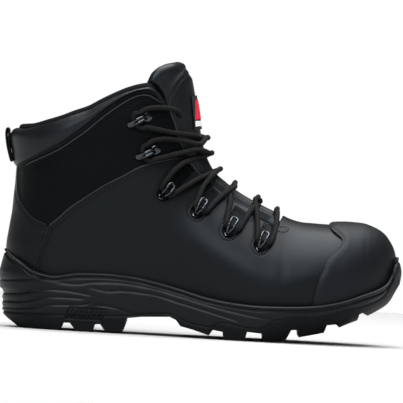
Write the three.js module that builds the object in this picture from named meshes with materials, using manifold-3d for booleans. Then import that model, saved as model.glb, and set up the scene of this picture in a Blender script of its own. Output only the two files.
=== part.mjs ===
// Steel toe work boot, right foot, standing on its sole.
// Millimetres. +X runs from the heel to the toe, +Y to the wearer's left (the inner side), +Z up.
// The boot is drawn from its heel (x = 0) and moved at the end, so that its box is centred on the origin.
import * as THREE from "three";
import { mergeVertices } from "three/addons/utils/BufferGeometryUtils.js";
import Module from "manifold-3d";

const wasm = await Module();
wasm.setup();

// ---- driving dimensions ----
const TOE_X = 303; // front of the upper, inside the toe bumper
const GAP = 0.35; // air between parts that touch
const LEATHER = 2; // thickness of the outer panels
const MID_LAYER = [-2.45, -4.1]; // the layer of stiffeners, foam and facings under the leather
const LINING = [-4.95, -6.05];
const OUTER = -1; // the wearer's outer side, -Y
const INNER = 1; // the wearer's inner side, +Y
const LACE_R = 2;
const FLATNESS = 0.04; // facets this close to flat are merged
const CENTRE_SHIFT = [-153.05, 1.55]; // moves the finished boot's box onto the origin

// ---- small maths ----
const clamp = (v, lo, hi) => Math.min(hi, Math.max(lo, v));
const mix = (a, b, t) => a + (b - a) * t;
const ease = (lo, hi, v) => {
  const t = clamp((v - lo) / (hi - lo), 0, 1);
  return t * t * (3 - 2 * t);
};

// A smooth function through points, which doesn't swing past them.
function through(points) {
  const n = points.length;
  const slope = (i) => (points[i + 1][1] - points[i][1]) / (points[i + 1][0] - points[i][0]);
  const tangent = (i) => {
    if (i === 0) return slope(0);
    if (i === n - 1) return slope(n - 2);
    const [a, b] = [slope(i - 1), slope(i)];
    return a * b <= 0 ? 0 : (2 * a * b) / (a + b);
  };
  return (x) => {
    if (x <= points[0][0]) return points[0][1];
    if (x >= points[n - 1][0]) return points[n - 1][1];
    const i = points.findIndex((p, k) => k < n - 1 && x < points[k + 1][0]);
    const h = points[i + 1][0] - points[i][0];
    const t = (x - points[i][0]) / h;
    const [m0, m1] = [tangent(i) * h, tangent(i + 1) * h];
    return (
      (2 * t ** 3 - 3 * t ** 2 + 1) * points[i][1] +
      (t ** 3 - 2 * t ** 2 + t) * m0 +
      (3 * t ** 2 - 2 * t ** 3) * points[i + 1][1] +
      (t ** 3 - t ** 2) * m1
    );
  };
}

// ---- the upper's lines, seen from the side ----
const backX = through([[20, 5], [40, 2.6], [62, 1.8], [76, 3.2], [92, 5], [125, 6], [160, 5.5]]);
const boardZ = through([
  [0, 32], [30, 30.5], [60, 29.5], [100, 27.5], [140, 23], [170, 19.5],
  [200, 18], [230, 19.5], [250, 23], [270, 28.5], [285, 34.5], [303, 43],
]);
const ridgeZ = through([
  [160, 128.8], [170, 119.8], [182, 112], [194, 106], [203, 102], [212, 98.5], [222, 95], [235, 92.8],
  [250, 92.2], [265, 93.2], [276, 92.8], [286, 90], [293, 86], [298, 80], [301, 74.5], [303, 68],
]);
// The instep line from over the toes to above the tongue.
const SHIN = [[153, 141], [149, 154], [145.5, 171], [142, 187], [138.4, 202], [134, 222]];
const instepCurve = new THREE.CatmullRomCurve3([
  ...[231, 221, 212, 203, 194, 182, 170, 160].map((x) => new THREE.Vector3(x, 0, ridgeZ(x))),
  ...SHIN.map(([x, z]) => new THREE.Vector3(x, 0, z)),
]);
const TONGUE_SHARE = 12 / 13; // how much of the line the tongue covers
const collarTopZ = through([
  [0, 155], [6, 156.5], [15, 157.2], [30, 161.5], [40, 164.8], [50, 169], [60, 173], [70, 179],
  [80, 184.5], [90, 189.2], [100, 192.5], [106, 193.6], [112, 191], [118, 184], [121, 179],
]);
const collarSeamZ = through([
  [0, 122], [8.5, 125], [20, 130.8], [30, 135.8], [40, 141.5], [50, 149], [60, 157], [70, 166.5],
  [80, 174.5], [90, 181.5], [97, 185], [104, 186.2], [110, 185], [115, 181], [118, 176],
]);
const eyestayZ = through([
  [117, 183], [122, 175.5], [127, 165], [131, 154], [136, 143], [142, 133.5], [150, 125],
  [158, 118], [168, 110.5], [178, 104], [188, 98], [198, 92.5], [207, 89], [216, 86.5],
  [250, 84], [275, 80], [290, 72], [300, 62], [303, 58],
]);
// The top edge of the sole's cup, and the underside between the lugs.
const lipZ = through([
  [-8, 61.5], [0, 61], [5, 56.5], [15, 50.4], [25, 44.4], [40, 41.4], [60, 44.6], [80, 45.3], [100, 44.2],
  [120, 41], [140, 36.4], [160, 31.4], [180, 28.5], [200, 27.4], [220, 27.9], [240, 29.3], [260, 33.1],
  [280, 40.2], [293, 45.5], [299, 50], [302.5, 56], [304.6, 64], [306, 70.5], [320, 70.6],
]);

// ---- widths, seen from above ----
const centreY = through([[0, 0], [100, -1], [190, -2], [240, 1.5], [303, 7]]);
const footHalfWidth = {
  [OUTER]: through([
    [0, 33], [20, 34], [60, 35], [100, 35], [130, 38.5], [160, 44], [190, 48.5], [215, 50], [303, 50],
  ]),
  [INNER]: through([
    [0, 33], [20, 34], [60, 34], [100, 31.5], [130, 32.5], [160, 38], [190, 44.5], [220, 48.5], [303, 48.5],
  ]),
};
const shaftHalfWidth = through([[60, 37], [100, 40], [130, 41], [160, 42], [200, 40]]);
const ridgeRoundness = through([[130, 0.9], [165, 0.62], [205, 0.5], [235, 0.75], [265, 1]]);

const instepPoints = instepCurve.getSpacedPoints(260);

// How far a point in the side view is under the instep or the ridge of the toe box.
function underRidge(x, z) {
  const slope = (ridgeZ(x + 1) - ridgeZ(x - 1)) / 2;
  const straightDown = Math.max(0, ridgeZ(x) - z) / Math.hypot(1, x > 280 ? 0 : slope);
  if (x >= 208) return straightDown;
  let nearest = Infinity;
  for (const p of instepPoints) nearest = Math.min(nearest, Math.hypot(p.x - x, p.z - z));
  return mix(nearest, straightDown, ease(192, 208, x));
}

// The square of the half width at a point in the side view: smooth, and 0 on the outline.
function halfWidthSquared(x, z, side) {
  const shaftShare = ease(70, 125, z) * (1 - ease(120, 190, x));
  let wall = mix(footHalfWidth[side](x), shaftHalfWidth(z), shaftShare);
  wall *= 1 - 0.1 * clamp((boardZ(x) + 22 - z) / 25, 0, 1) ** 2;
  const toe = x > 222 ? 1 - ((x - 222) / (TOE_X - 222)) ** 2.6 : 1;
  const back = 1 - (1 - clamp((x - backX(z)) / 42, 0, 1)) ** 2;
  const depth = mix(56, 0.8 * Math.max(8, ridgeZ(x) - boardZ(x) - 12), ease(150, 240, x));
  const d = clamp(underRidge(x, z) / depth, 0, 1);
  const round = ridgeRoundness(x);
  const top = round * (2 * d - d * d) + (1 - round) * d * d * (3 - 2 * d);
  return wall * wall * Math.max(0, toe) * back * top;
}

// A point on the outside of the leather, and its outward normal.
function skin(x, z, side, onRidge = false) {
  const square = halfWidthSquared(x, z, side);
  const half = onRidge || square < 1e-4 ? 0 : Math.sqrt(square);
  const e = 0.05;
  const at = (px, pz) => halfWidthSquared(clamp(px, -9, TOE_X), pz, onRidge ? OUTER : side);
  const stepBack = x > TOE_X - e ? 0 : e;
  // On the ridge itself the slope is read just inside the outline.
  const [gx, gz] = onRidge ? [x - (x < 208 ? 0.35 : 0), z - 0.35] : [x, z];
  const dx = (at(gx + stepBack, gz) - at(gx - e, gz)) / (e + stepBack);
  const dz = (at(gx, gz + e) - at(gx, gz - e)) / (2 * e);
  const lean = (centreY(x + e) - centreY(x - e)) / (2 * e);
  const normal = new THREE.Vector3(-dx - 2 * side * half * lean, 2 * side * half, -dz);
  return { at: new THREE.Vector3(x, centreY(x) + side * half, z), normal: normal.normalize() };
}

// Column c runs up the boot at about x = c + 5. Near the heel it follows the curve of the back.
const columnX = (c, z) => Math.min(TOE_X, c + 5 + (backX(z) - 5) * (1 - ease(0, 60, c)));

// A point a given distance outside (+) or inside (-) the leather's outer face.
function offSkin(x, z, side, distance, onRidge = false) {
  const s = skin(x, z, side, onRidge);
  return s.at.addScaledVector(s.normal, distance);
}

// ---- building solids ----
function geometryOf(points, triangles) {
  const g = new THREE.BufferGeometry();
  g.setAttribute("position", new THREE.Float32BufferAttribute(points.flatMap((p) => [p.x, p.y, p.z]), 3));
  g.setIndex(triangles.flat());
  return g;
}

// One closed solid from any geometry: corners merged and collapsed triangles dropped.
function solid(geometry) {
  const g = geometry.clone();
  g.deleteAttribute("normal");
  g.deleteAttribute("uv");
  const merged = mergeVertices(g, 1e-3);
  const index = merged.index.array;
  const kept = [];
  for (let i = 0; i < index.length; i += 3) {
    const [a, b, c] = [index[i], index[i + 1], index[i + 2]];
    if (a !== b && b !== c && c !== a) kept.push(a, b, c);
  }
  const vertProperties = merged.attributes.position.array;
  const build = (corners) => {
    return new wasm.Manifold(new wasm.Mesh({ numProp: 3, vertProperties, triVerts: new Uint32Array(corners) }));
  };
  const first = build(kept);
  return first.volume() > 0 ? first : build(kept.reverse());
}

function geometryFrom(manifold) {
  const m = manifold.simplify(FLATNESS).getMesh();
  const g = new THREE.BufferGeometry();
  const position = new Float32Array(m.numVert * 3);
  for (let i = 0; i < m.numVert; i++) {
    position.set(m.vertProperties.subarray(i * m.numProp, i * m.numProp + 3), i * 3);
  }
  g.setAttribute("position", new THREE.BufferAttribute(position, 3));
  g.setIndex(new THREE.BufferAttribute(new Uint32Array(m.triVerts), 1));
  return g;
}

// Two facing grids of points, [outside, inside], become one closed shell. Cells that `open` names are left out.
// Grids whose edge points fall together are joined there.
function shell(grids, open = () => false) {
  const points = [];
  const keyed = new Map();
  const indexOf = (p) => {
    const key = [p.x, p.y, p.z].map((v) => Math.round(v * 500)).join();
    if (!keyed.has(key)) {
      keyed.set(key, points.length);
      points.push(p);
    }
    return keyed.get(key);
  };
  const pairs = new Map();
  const quads = [];
  for (const { outside, inside, flip } of grids) {
    const id = outside.map((column, i) => column.map((p, j) => {
      const k = indexOf(p);
      pairs.set(k, inside[i][j]);
      return k;
    }));
    for (let i = 0; i + 1 < id.length; i++) {
      for (let j = 0; j + 1 < id[i].length; j++) {
        if (open(i, j)) continue;
        const quad = [id[i][j], id[i + 1][j], id[i + 1][j + 1], id[i][j + 1]];
        quads.push(flip ? quad.reverse() : quad);
      }
    }
  }
  const innerStart = points.length;
  const all = [...points, ...points.map((_, k) => pairs.get(k))];
  const triangles = [];
  const edges = new Map();
  const addTriangle = (a, b, c) => {
    if (a !== b && b !== c && c !== a) triangles.push([a, b, c]);
  };
  for (const [a, b, c, d] of quads) {
    for (const [p, q, r] of [[a, b, c], [a, c, d]]) {
      if (p === q || q === r || r === p) continue;
      addTriangle(p, q, r);
      addTriangle(p + innerStart, r + innerStart, q + innerStart);
      for (const [s, t] of [[p, q], [q, r], [r, p]]) edges.set(s + "," + t, [s, t]);
    }
  }
  for (const [s, t] of edges.values()) {
    if (edges.has(t + "," + s)) continue;
    addTriangle(t, s, s + innerStart);
    addTriangle(t, s + innerStart, t + innerStart);
  }
  return solid(geometryOf(all, triangles));
}

// A shell that follows the upper on both sides. rows(c) gives each row's height and its two distances from the skin.
function upperShell(columns, rows, open, sides = [OUTER, INNER]) {
  return shell(
    sides.map((side) => {
      const place = (which) => columns.map((c) => rows(c).map((row) => {
        return offSkin(columnX(c, row.z), row.z, side, row[which], row.onRidge);
      }));
      return { outside: place("out"), inside: place("in"), flip: side === INNER };
    }),
    open,
  );
}

// A prism along Y from an outline in the side view.
function sidePrism(outline, y0, y1) {
  const shape = outline instanceof THREE.Shape
    ? outline
    : new THREE.Shape(outline.map(([x, z]) => new THREE.Vector2(x, z)));
  const g = new THREE.ExtrudeGeometry(shape, { depth: y1 - y0, bevelEnabled: false, curveSegments: 6 });
  g.rotateX(Math.PI / 2).translate(0, y1, 0);
  return solid(g);
}

const sampled = (line, x0, x1, n) =>
  Array.from({ length: n + 1 }, (_, i) => mix(x0, x1, i / n)).map((x) => [x, line(x)]);

// ---- materials ----
const finish = (color, roughness, metalness = 0) => new THREE.MeshStandardMaterial({ color, roughness, metalness });
const LEATHER_BLACK = finish(0x1b1c1f, 0.5);
const COLLAR_BLACK = finish(0x222428, 0.42);
const RUBBER = finish(0x17181a, 0.75);
const POLYURETHANE = finish(0x1d1e21, 0.65);
const TEXTILE = finish(0x121213, 0.9);
const STEEL = finish(0x8d9096, 0.35, 1);
const GUNMETAL = finish(0x3a3d42, 0.25, 1);
const FOAM = finish(0x3a3a3c, 0.95);
const BOARD = finish(0x9a917f, 0.9);
const LABEL = finish(0x202022, 0.8);

const boot = new THREE.Group();
function add(name, made, material) {
  const mesh = new THREE.Mesh(made.isBufferGeometry ? made : geometryFrom(made), material);
  mesh.name = name;
  boot.add(mesh);
  return mesh;
}

// ---- the layers of the upper ----
const COLUMNS = [
  0, 0.7, 2.8, 6.5, 12, 20, 32, 46, 60, 74, 88, 98, 106, 114, 124, 136, 148, 160, 172, 184, 194, 200, 209,
  218, 230, 242, 254, 265, 274.5, 282.5, 289, 294, 297, 298,
];
const layerTop = (c) => {
  const x = c + 5;
  if (x >= 209) return ridgeZ(x);
  const free = x < 118 ? collarSeamZ(x) + 6 : eyestayZ(x) + 4;
  return mix(free, ridgeZ(x), ease(200, 209, x));
};

// One layer of the upper, closed over the toe and open at the shaft, before it is cut into its panels.
function layer([out, inn], { lift = 0.3, rows = 9, columns = COLUMNS, top = layerTop } = {}) {
  return upperShell(columns, (c) => {
    const x = c + 5;
    const low = boardZ(x) + lift;
    const closes = x >= 209;
    const crowding = 1 + 0.9 * ease(190, 212, x);
    return Array.from({ length: rows + 1 }, (_, j) => ({
      z: mix(low, top(c), 1 - (1 - j / rows) ** crowding),
      out,
      in: inn,
      onRidge: closes && j === rows,
    }));
  });
}

const leather = layer([0, -LEATHER]);
const middle = layer(MID_LAYER, { lift: 3.8, rows: 9 });
const whole = (outline) => sidePrism(outline, -90, 90);

// Seams seen from the side. Each panel stops half a gap short of the line.
const COUNTER_SEAM = [[25, 40], [25.2, 47], [27, 56], [30, 66], [33, 75], [34.2, 79]];
const VAMP_SEAM = [[34.2, 79], [41.5, 85.5], [50, 94], [60, 101.5], [70, 109], [80, 115.4], [90, 121],
  [100, 127.2], [110, 131.6], [122, 135], [134, 138]];
const QUARTER_REAR = [[8.6, 124.8], [8.2, 122], [8.3, 113], [9.2, 104], [10.8, 98], [14.6, 92], [20, 86],
  [26, 82.3], [30, 80.6], [34.2, 79]];
const EYESTAY = sampled(eyestayZ, 139.8, 214, 9);
const THROAT = [[218.5, 86.4], [216.5, 92], [212.6, 98], [212, 112]];
const moved = (points, dx, dz) => points.map(([x, z]) => [x + dx, z + dz]);

const vampOutline = [
  [25.2, 0], ...moved(COUNTER_SEAM.slice(1), 0.2, 0), ...moved(VAMP_SEAM.slice(1), 0.1, -0.2), ...EYESTAY,
  ...THROAT, [330, 112], [330, 0],
];

// Lace loops: the foot and the top of each, seen from the side.
const LOOPS = [
  { foot: [119.6, 105.6], top: [128.7, 117] },
  { foot: [146.7, 93.5], top: [153.4, 105] },
  { foot: [172, 80.2], top: [178, 91.7] },
  { foot: [197, 70.6], top: [202.3, 82.4] },
];

// The U-shaped notch in the vamp's edge that shows each loop's foot: straight sides and a round end.
function notchShape({ foot, top }) {
  const along = new THREE.Vector2(top[0] - foot[0], top[1] - foot[1]).normalize();
  const middle2 = new THREE.Vector2(...foot).addScaledVector(along, 2.4);
  const turn = Math.atan2(along.y, along.x);
  const half = 5;
  const shape = new THREE.Shape();
  shape.absarc(middle2.x, middle2.y, half, turn + Math.PI / 2, turn + 1.5 * Math.PI, false);
  const far = middle2.clone().addScaledVector(along, 45);
  const aside = new THREE.Vector2(along.y, -along.x).multiplyScalar(half);
  shape.lineTo(far.x + aside.x, far.y + aside.y);
  shape.lineTo(far.x - aside.x, far.y - aside.y);
  return shape;
}
let vamp = leather.intersect(whole(vampOutline));
for (const loop of LOOPS) vamp = vamp.subtract(whole(notchShape(loop)));
add("vamp", vamp, LEATHER_BLACK);

const counterOutline = [
  [-12, 0], [24.8, 0], ...moved(COUNTER_SEAM.slice(1), -0.2, -0.1),
  ...moved(QUARTER_REAR.slice(0, -1), -0.2, -0.15).reverse(), [0, 121.3], [-12, 121.3],
];
add("heel_counter", leather.intersect(whole(counterOutline)), LEATHER_BLACK);

const seamAtColumns = COLUMNS.filter((c) => c > 8 && c < 115).map((c) => [c + 5, collarSeamZ(c + 5) - 0.4]);
const quarterOutline = [
  ...moved(QUARTER_REAR, 0.2, 0.1), ...moved(VAMP_SEAM.slice(1, -1), -0.1, 0.2), [134, 138.4], [138.2, 138.8],
  ...sampled(eyestayZ, 122.6, 137.6, 6).reverse(), ...seamAtColumns.reverse(),
];
add("quarter_lateral", leather.intersect(sidePrism(quarterOutline, -90, -1)), LEATHER_BLACK);
add("quarter_medial", leather.intersect(sidePrism(quarterOutline, -1, 90)), LEATHER_BLACK);

// The padded collar above the quarters.
add("collar", upperShell(COLUMNS.filter((c) => c < 115), (c) => {
  const x = c + 5;
  const low = collarSeamZ(x) + 1.1;
  const high = collarTopZ(x) - 3.9;
  const puff = mix(0.8, 2, ease(6, 20, x)) * (1 - ease(100, 117, x));
  return Array.from({ length: 6 }, (_, j) => ({
    z: mix(low, Math.max(low + 1.5, high), j / 5),
    out: puff * Math.sin((Math.PI * (0.15 + 0.85 * j)) / 5) ** 0.7,
    in: MID_LAYER[1],
  }));
}), COLLAR_BLACK);

// The mesh lining, which rolls outward over the collar's edge.
add("lining", upperShell(COLUMNS, (c) => {
  const x = c + 5;
  const low = boardZ(x) + 3.8;
  const rolled = x < 121;
  const free = rolled ? collarTopZ(x) - 3.6 : eyestayZ(x) - 1;
  const high = mix(free, x >= 200 ? ridgeZ(x) : free, ease(200, 209, x));
  const crowding = 1 + 0.9 * ease(190, 212, x);
  const last = 8;
  const rows = Array.from({ length: last + 1 }, (_, j) => ({
    z: mix(low, high - 0.1, 1 - (1 - j / last) ** crowding) + (x >= 209 && j === last ? 0.1 : 0),
    out: LINING[0],
    in: LINING[1],
    onRidge: x >= 209 && j === last,
  }));
  const rollShare = 1 - ease(108, 121, x);
  rows.push({ z: high + 0.02, out: mix(LINING[0], -0.7, rollShare), in: LINING[1], onRidge: x >= 209 });
  rows.push({
    z: high + 3.2 * rollShare + 0.04,
    out: mix(LINING[0], -1.4, rollShare),
    in: LINING[1] - 0.1,
    onRidge: x >= 209,
  });
  if (x >= 209) return rows.map((r, j) => (j > last ? { ...rows[last] } : r));
  return rows;
}), TEXTILE);

// Steel toe cap, heel stiffener and the eyestay's backing, between the leather and the lining.
add("steel_toe_cap", middle.intersect(whole([[242, 0], [247, 60], [252, 110], [330, 110], [330, 0]])), STEEL);
add("heel_stiffener", middle.intersect(whole([
  [-12, 0], [72, 0], [66, 50], [52, 66], [30, 80], [10, 86], [-12, 87],
])), BOARD);
const facingOutline = [
  [86, 174], [84, 150], [92, 125], [112, 96], [140, 80], [168, 66], [195, 58], [214, 60], [219, 78],
  ...moved(sampled(eyestayZ, 122, 215, 18).reverse(), -1, -2), [116.5, 174], [108, 181], [100, 182.5],
];
add("eyestay_backing_lateral", middle.intersect(sidePrism(facingOutline, -90, -2)), LEATHER_BLACK);
add("eyestay_backing_medial", middle.intersect(sidePrism(facingOutline, -2, 90)), LEATHER_BLACK);

// The smooth scuff cap laid over the vamp's toe.
const capShell = upperShell(
  [...COLUMNS.filter((c) => c > 225)],
  (c) => {
    const x = c + 5;
    const low = boardZ(x) + 0.3;
    return Array.from({ length: 10 }, (_, j) => ({
      z: mix(low, ridgeZ(x), 1 - (1 - j / 9) ** 1.9),
      out: 1.8,
      in: GAP,
      onRidge: j === 9,
    }));
  },
);
const CAP_EDGE = [
  [239, 20], [240.8, 32.7], [241.7, 39], [243.3, 46], [245, 51], [247.5, 57], [249, 62], [251.7, 66.8],
  [255.8, 71.4], [260, 76.8], [261.3, 80], [260.4, 82.7], [256.7, 85], [253, 87.7], [252.5, 91.5], [256, 95],
];
const capOutline = [
  ...moved(sampled(lipZ, 241, 305.9, 40), -0.9, 1).reverse(), ...CAP_EDGE.slice(2),
  [256, 110], [330, 110], [330, 71.3],
];
add("toe_scuff_cap", capShell.intersect(whole(capOutline)), LEATHER_BLACK);

// ---- the sole ----
const soleHeelX = through([
  [0, 14], [2.7, 10.5], [6.8, 5], [11, 1.4], [28, 1.1], [29.5, -1.2], [41, -2.5], [46, -1.7], [61, 0.5], [75, 0.6],
]);
const soleToeX = through([
  [0, 240], [12, 262], [23, 285], [29, 295], [32.7, 300], [39.3, 305], [43.5, 307], [49.3, 308.8], [57.7, 309.6],
  [63.5, 308.5], [68, 306.7], [72, 304.8],
]);
const SOLE_LEVELS = [-2, 2.7, 6.8, 11, 20, 28, 29.5, 34, 41, 48, 55, 61, 66, 73];
const SOLE_STATIONS = [0, 0.003, 0.014, 0.04, 0.08, 0.14, 0.22, 0.31, 0.4, 0.49, 0.58, 0.67, 0.75, 0.82, 0.88,
  0.93, 0.965, 0.987, 0.997, 1];
function soleHalfWidth(x, z, side) {
  const flare = side === OUTER ? 4.6 : 4.2;
  const waist = 1.5 * ease(20, 0, Math.abs(x - 110));
  const tuck = z < 30 ? -2.2 * ((30 - z) / 30) ** 2 * ease(140, 100, Math.abs(x - 110)) : 0;
  const grow = 1.6 * Math.sin(Math.PI * clamp((z - 5) / 60, 0, 1));
  return footHalfWidth[side](x) + flare + grow + tuck - waist;
}
function solePoint(u, z, side) {
  const [x0, x1] = [soleHeelX(z), soleToeX(Math.max(z, 1))];
  const x = mix(x0, x1, u);
  const heel = 1 - (1 - clamp((x - x0) / 44, 0, 1)) ** 2;
  const toe = 1 - clamp((x - (x1 - 84)) / 84, 0, 1) ** 2.6;
  return new THREE.Vector3(x, centreY(x) + side * soleHalfWidth(x, z, side) * Math.sqrt(heel * toe), z);
}
// A solid between levels, from the outline at each level.
function loft(levels, outlineAt) {
  const rings = levels.map(outlineAt);
  const n = rings[0].length;
  const points = rings.flat();
  const triangles = [];
  for (let k = 0; k + 1 < rings.length; k++) {
    for (let i = 0; i < n; i++) {
      const [a, b] = [k * n + i, k * n + ((i + 1) % n)];
      triangles.push([a, b, b + n], [a, b + n, a + n]);
    }
  }
  const topStart = (rings.length - 1) * n;
  for (let i = 0; i + 1 < n / 2; i++) {
    const [a, b, c, d] = [i, i + 1, n - 2 - i, (n - 1 - i) % n];
    triangles.push([a, c, b], [a, d, c]);
    triangles.push([topStart + a, topStart + b, topStart + c], [topStart + a, topStart + c, topStart + d]);
  }
  return solid(geometryOf(points, triangles));
}
const bothSides = (stations, at) => [
  ...stations.map((u) => at(u, OUTER)),
  ...stations.slice().reverse().map((u) => at(u, INNER)),
];
const soleBlock = loft(SOLE_LEVELS, (z) => bothSides(SOLE_STATIONS, (u, side) => solePoint(u, z, side)));

// The lugs and the underside, seen from the side.
const TREAD = [
  [-6, 0], [47.5, 0], [49.6, 5.6], [55.4, 5.75], [60.4, 0], [72.5, 0], [73.8, 5.6], [78.8, 6], [83, 0.6],
  [96.3, 1.5], [98.3, 7.7], [98.8, 11.8], [110, 13.4], [131.7, 14.8], [136.7, 12.7], [140.4, 8.1], [150, 6],
  [162.5, 2.3], [165.4, 6.8], [173.3, 5.6], [173.8, 0], [190, 0], [191.7, 6.8], [203.8, 6], [204.2, 0],
  [213, 0], [222, 2.3], [225.4, 9.8], [230.8, 10.3], [231.7, 4.3], [251.3, 8.5], [252.9, 14.8], [260, 16.4],
  [265, 12.7], [276.7, 18.5], [277.5, 24.3], [280, 25.6], [285, 23], [295, 29], [300, 32], [312, 40],
];
const soleSide = [...TREAD, [312, 70.5], ...sampled(lipZ, -6, 305.5, 60).reverse()];

// The room for the upper: the upper's outside, a little larger, from just under the board.
const upperRoom = loft(
  [-0.4, 2, 4, 6.5, 9.5, 13, 17, 21, 26, 31, 38, 46, 54, 62],
  (rise) => bothSides(COLUMNS, (c, side) => {
    const x = c + 5;
    const z = boardZ(x) + rise;
    return offSkin(columnX(c, z), z, side, GAP + 0.1);
  }),
);
const sole = soleBlock.intersect(whole(soleSide)).subtract(upperRoom);

// Where the rubber outsole meets the lighter midsole.
const SOLE_SPLIT = [
  [-20, 11.5], [50, 11.3], [83, 12.4], [98.8, 13.6], [110, 15.4], [125, 17], [135, 16.4], [142, 13], [148, 10.6],
  [155, 9.8], [163, 8.9], [169, 12.3], [180, 11.8], [191.7, 9.8], [200, 9.8], [205, 11], [210, 15.6],
  [216.7, 17.7], [225, 19.5], [240, 20.2], [250, 21.8], [260, 25.2], [270, 28.5], [280, 31.4], [290, 35.6],
  [296, 40], [299.5, 46.5], [301.2, 52], [302, 58], [302.2, 80],
];
let outsole = sole.intersect(whole([...moved(SOLE_SPLIT, 0.12, -0.12), [330, 80], [330, -10], [-20, -10]]));
let midsole = sole.intersect(whole([...moved(SOLE_SPLIT, -0.12, 0.12), [302, 99], [-20, 99]]));

// Channels down the middle of the tread part each lug in two.
const channel = (x0, x1, y, width, depth) => {
  const box = new THREE.BoxGeometry(x1 - x0, width, 40).translate((x0 + x1) / 2, y, depth - 20);
  return solid(box);
};
outsole = outsole
  .subtract(channel(12, 99, -0.5, 9, 5.2))
  .subtract(channel(136, 228, -1, 8, 4.6))
  .subtract(channel(228, 254, 1, 8, 9))
  .subtract(channel(254, 300, 4, 8, 16));

// The steel shank's bed in the top of the midsole.
const SHANK = { from: 72, to: 168, half: 7.5, thick: 1.4 };
const shankStations = sampled(boardZ, SHANK.from, SHANK.to, 12);
function strip(stations, half, low, high, y) {
  const under = stations.map(([x, z]) => [x, z + low]);
  const over = stations.map(([x, z]) => [x, z + high]);
  return sidePrism([...under, ...over.reverse()], y - half, y + half);
}
const bedStations = sampled(boardZ, SHANK.from - 0.6, SHANK.to + 0.6, 12);
midsole = midsole.subtract(strip(bedStations, SHANK.half + 0.4, -2.4, 2, -0.5));
add("outsole", outsole, RUBBER);
add("midsole", midsole, POLYURETHANE);
add("shank", strip(shankStations, SHANK.half, -2, -2 + SHANK.thick, -0.5), STEEL);

// Flat layers inside: a plate, board or footbed that keeps a distance from the upper's skin.
const PLATE_COLUMNS = COLUMNS.filter((c, i) => c > 2 && (i % 2 === 1 || c < 12 || c > 290));
function plate(low, high, inset, columns = PLATE_COLUMNS) {
  const across = [0, 0.5, 1];
  const face = (rise) => columns.map((c) => {
    const x = c + 5;
    const z = boardZ(x) + rise;
    const [left, right] = [OUTER, INNER].map((side) => offSkin(columnX(c, z), z, side, -inset));
    return across.map((t) => left.clone().lerp(right, t));
  });
  return shell([{ outside: face(high), inside: face(low), flip: false }]);
}
add("puncture_plate", plate(0.2, 1.2, 2.6), FOAM);
add("insole_board", plate(1.5, 3.4, 2.6), BOARD);
add("footbed", plate(3.9, 7.8, 7), FOAM);

// ---- the tongue ----
// It follows the instep and shin. `v` is the depth below that line, seen from the side.
const tongueTop = through([[0, 7.4], [4, 8.6], [9, 9], [15, 8.6], [22, 6], [28, 1], [32, -6]]);
// How far down from the instep line the opening between the eyestays, or above the collar, reaches.
function openingReach(t) {
  const p = instepCurve.getPoint(t * TONGUE_SHARE);
  const along = instepCurve.getTangent(t * TONGUE_SHARE);
  for (let v = 1; v < 32; v += 0.25) {
    const [x, z] = [p.x - along.z * v, p.z + along.x * v];
    if (z < (x > 122.5 ? eyestayZ(x - 1.5) + 1.8 : collarTopZ(x) + 4)) return v;
  }
  return 32;
}
const TONGUE_ROWS = [0, 0.03, 0.1, 0.2, 0.34, 0.52, 0.75, 1];
const TONGUE_COLUMNS = 22;
function tongueFace(side, part) {
  return Array.from({ length: TONGUE_COLUMNS + 1 }, (_, i) => {
    const t = i / TONGUE_COLUMNS;
    const p = instepCurve.getPoint(t * TONGUE_SHARE);
    const along = instepCurve.getTangent(t * TONGUE_SHARE);
    const reach = t < 0.2 ? mix(16, openingReach(0.2), t / 0.2) : openingReach(t);
    return TONGUE_ROWS.map((f) => {
      const v = f * reach;
      const stretch = tongueTop(v) * ease(0.72, 1, t);
      const x = p.x - along.z * v + along.x * stretch;
      const z = p.z + along.x * v + along.z * stretch;
      return part(x, z, v, t, f, side);
    });
  });
}
// How deep the tongue's face lies under the skin: proud in the opening, tucked under the vamp at its foot.
function tongueDepth(x, z, v, t, f) {
  const centre = mix(7.5, 0.2, ease(0.2, 0.36, t));
  const edge = mix(7.5, 3, ease(0.2, 0.36, t));
  const rolledBack = 5.5 * ease(198, 209, z) * (1 - ease(4, 14, v));
  return mix(centre, edge, ease(0.45, 1, f)) + rolledBack;
}
const tongueGrids = [OUTER, INNER].map((side) => ({
  outside: tongueFace(side, (x, z, v, t, f) => offSkin(x, z, side, -tongueDepth(x, z, v, t, f), f === 0)),
  inside: tongueFace(side, (x, z, v, t, f) => {
    const thick = mix(3, 8, ease(0.2, 0.45, t)) * (1 - 0.5 * ease(0.93, 1, t)) * (1 - 0.6 * f ** 2);
    return offSkin(x, z, side, -tongueDepth(x, z, v, t, f) - thick, f === 0);
  }),
  flip: side === OUTER,
}));
add("tongue", shell(tongueGrids), COLLAR_BLACK);

// The bellows that join the tongue's edges to the inside of the boot.
function gusset(side) {
  const face = (depth) => sampled((t) => t, 0.26, 0.8, 12).map(([t]) => {
    const p = instepCurve.getPoint(t * TONGUE_SHARE);
    const along = instepCurve.getTangent(t * TONGUE_SHARE);
    return [-1, 3.5, 8].map((past) => {
      const v = openingReach(t) + past;
      return offSkin(p.x - along.z * v, p.z + along.x * v, side, -depth);
    });
  });
  return shell([{ outside: face(8), inside: face(8.8), flip: side === OUTER }]);
}
add("gusset_lateral", gusset(OUTER), TEXTILE);
add("gusset_medial", gusset(INNER), TEXTILE);

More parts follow.
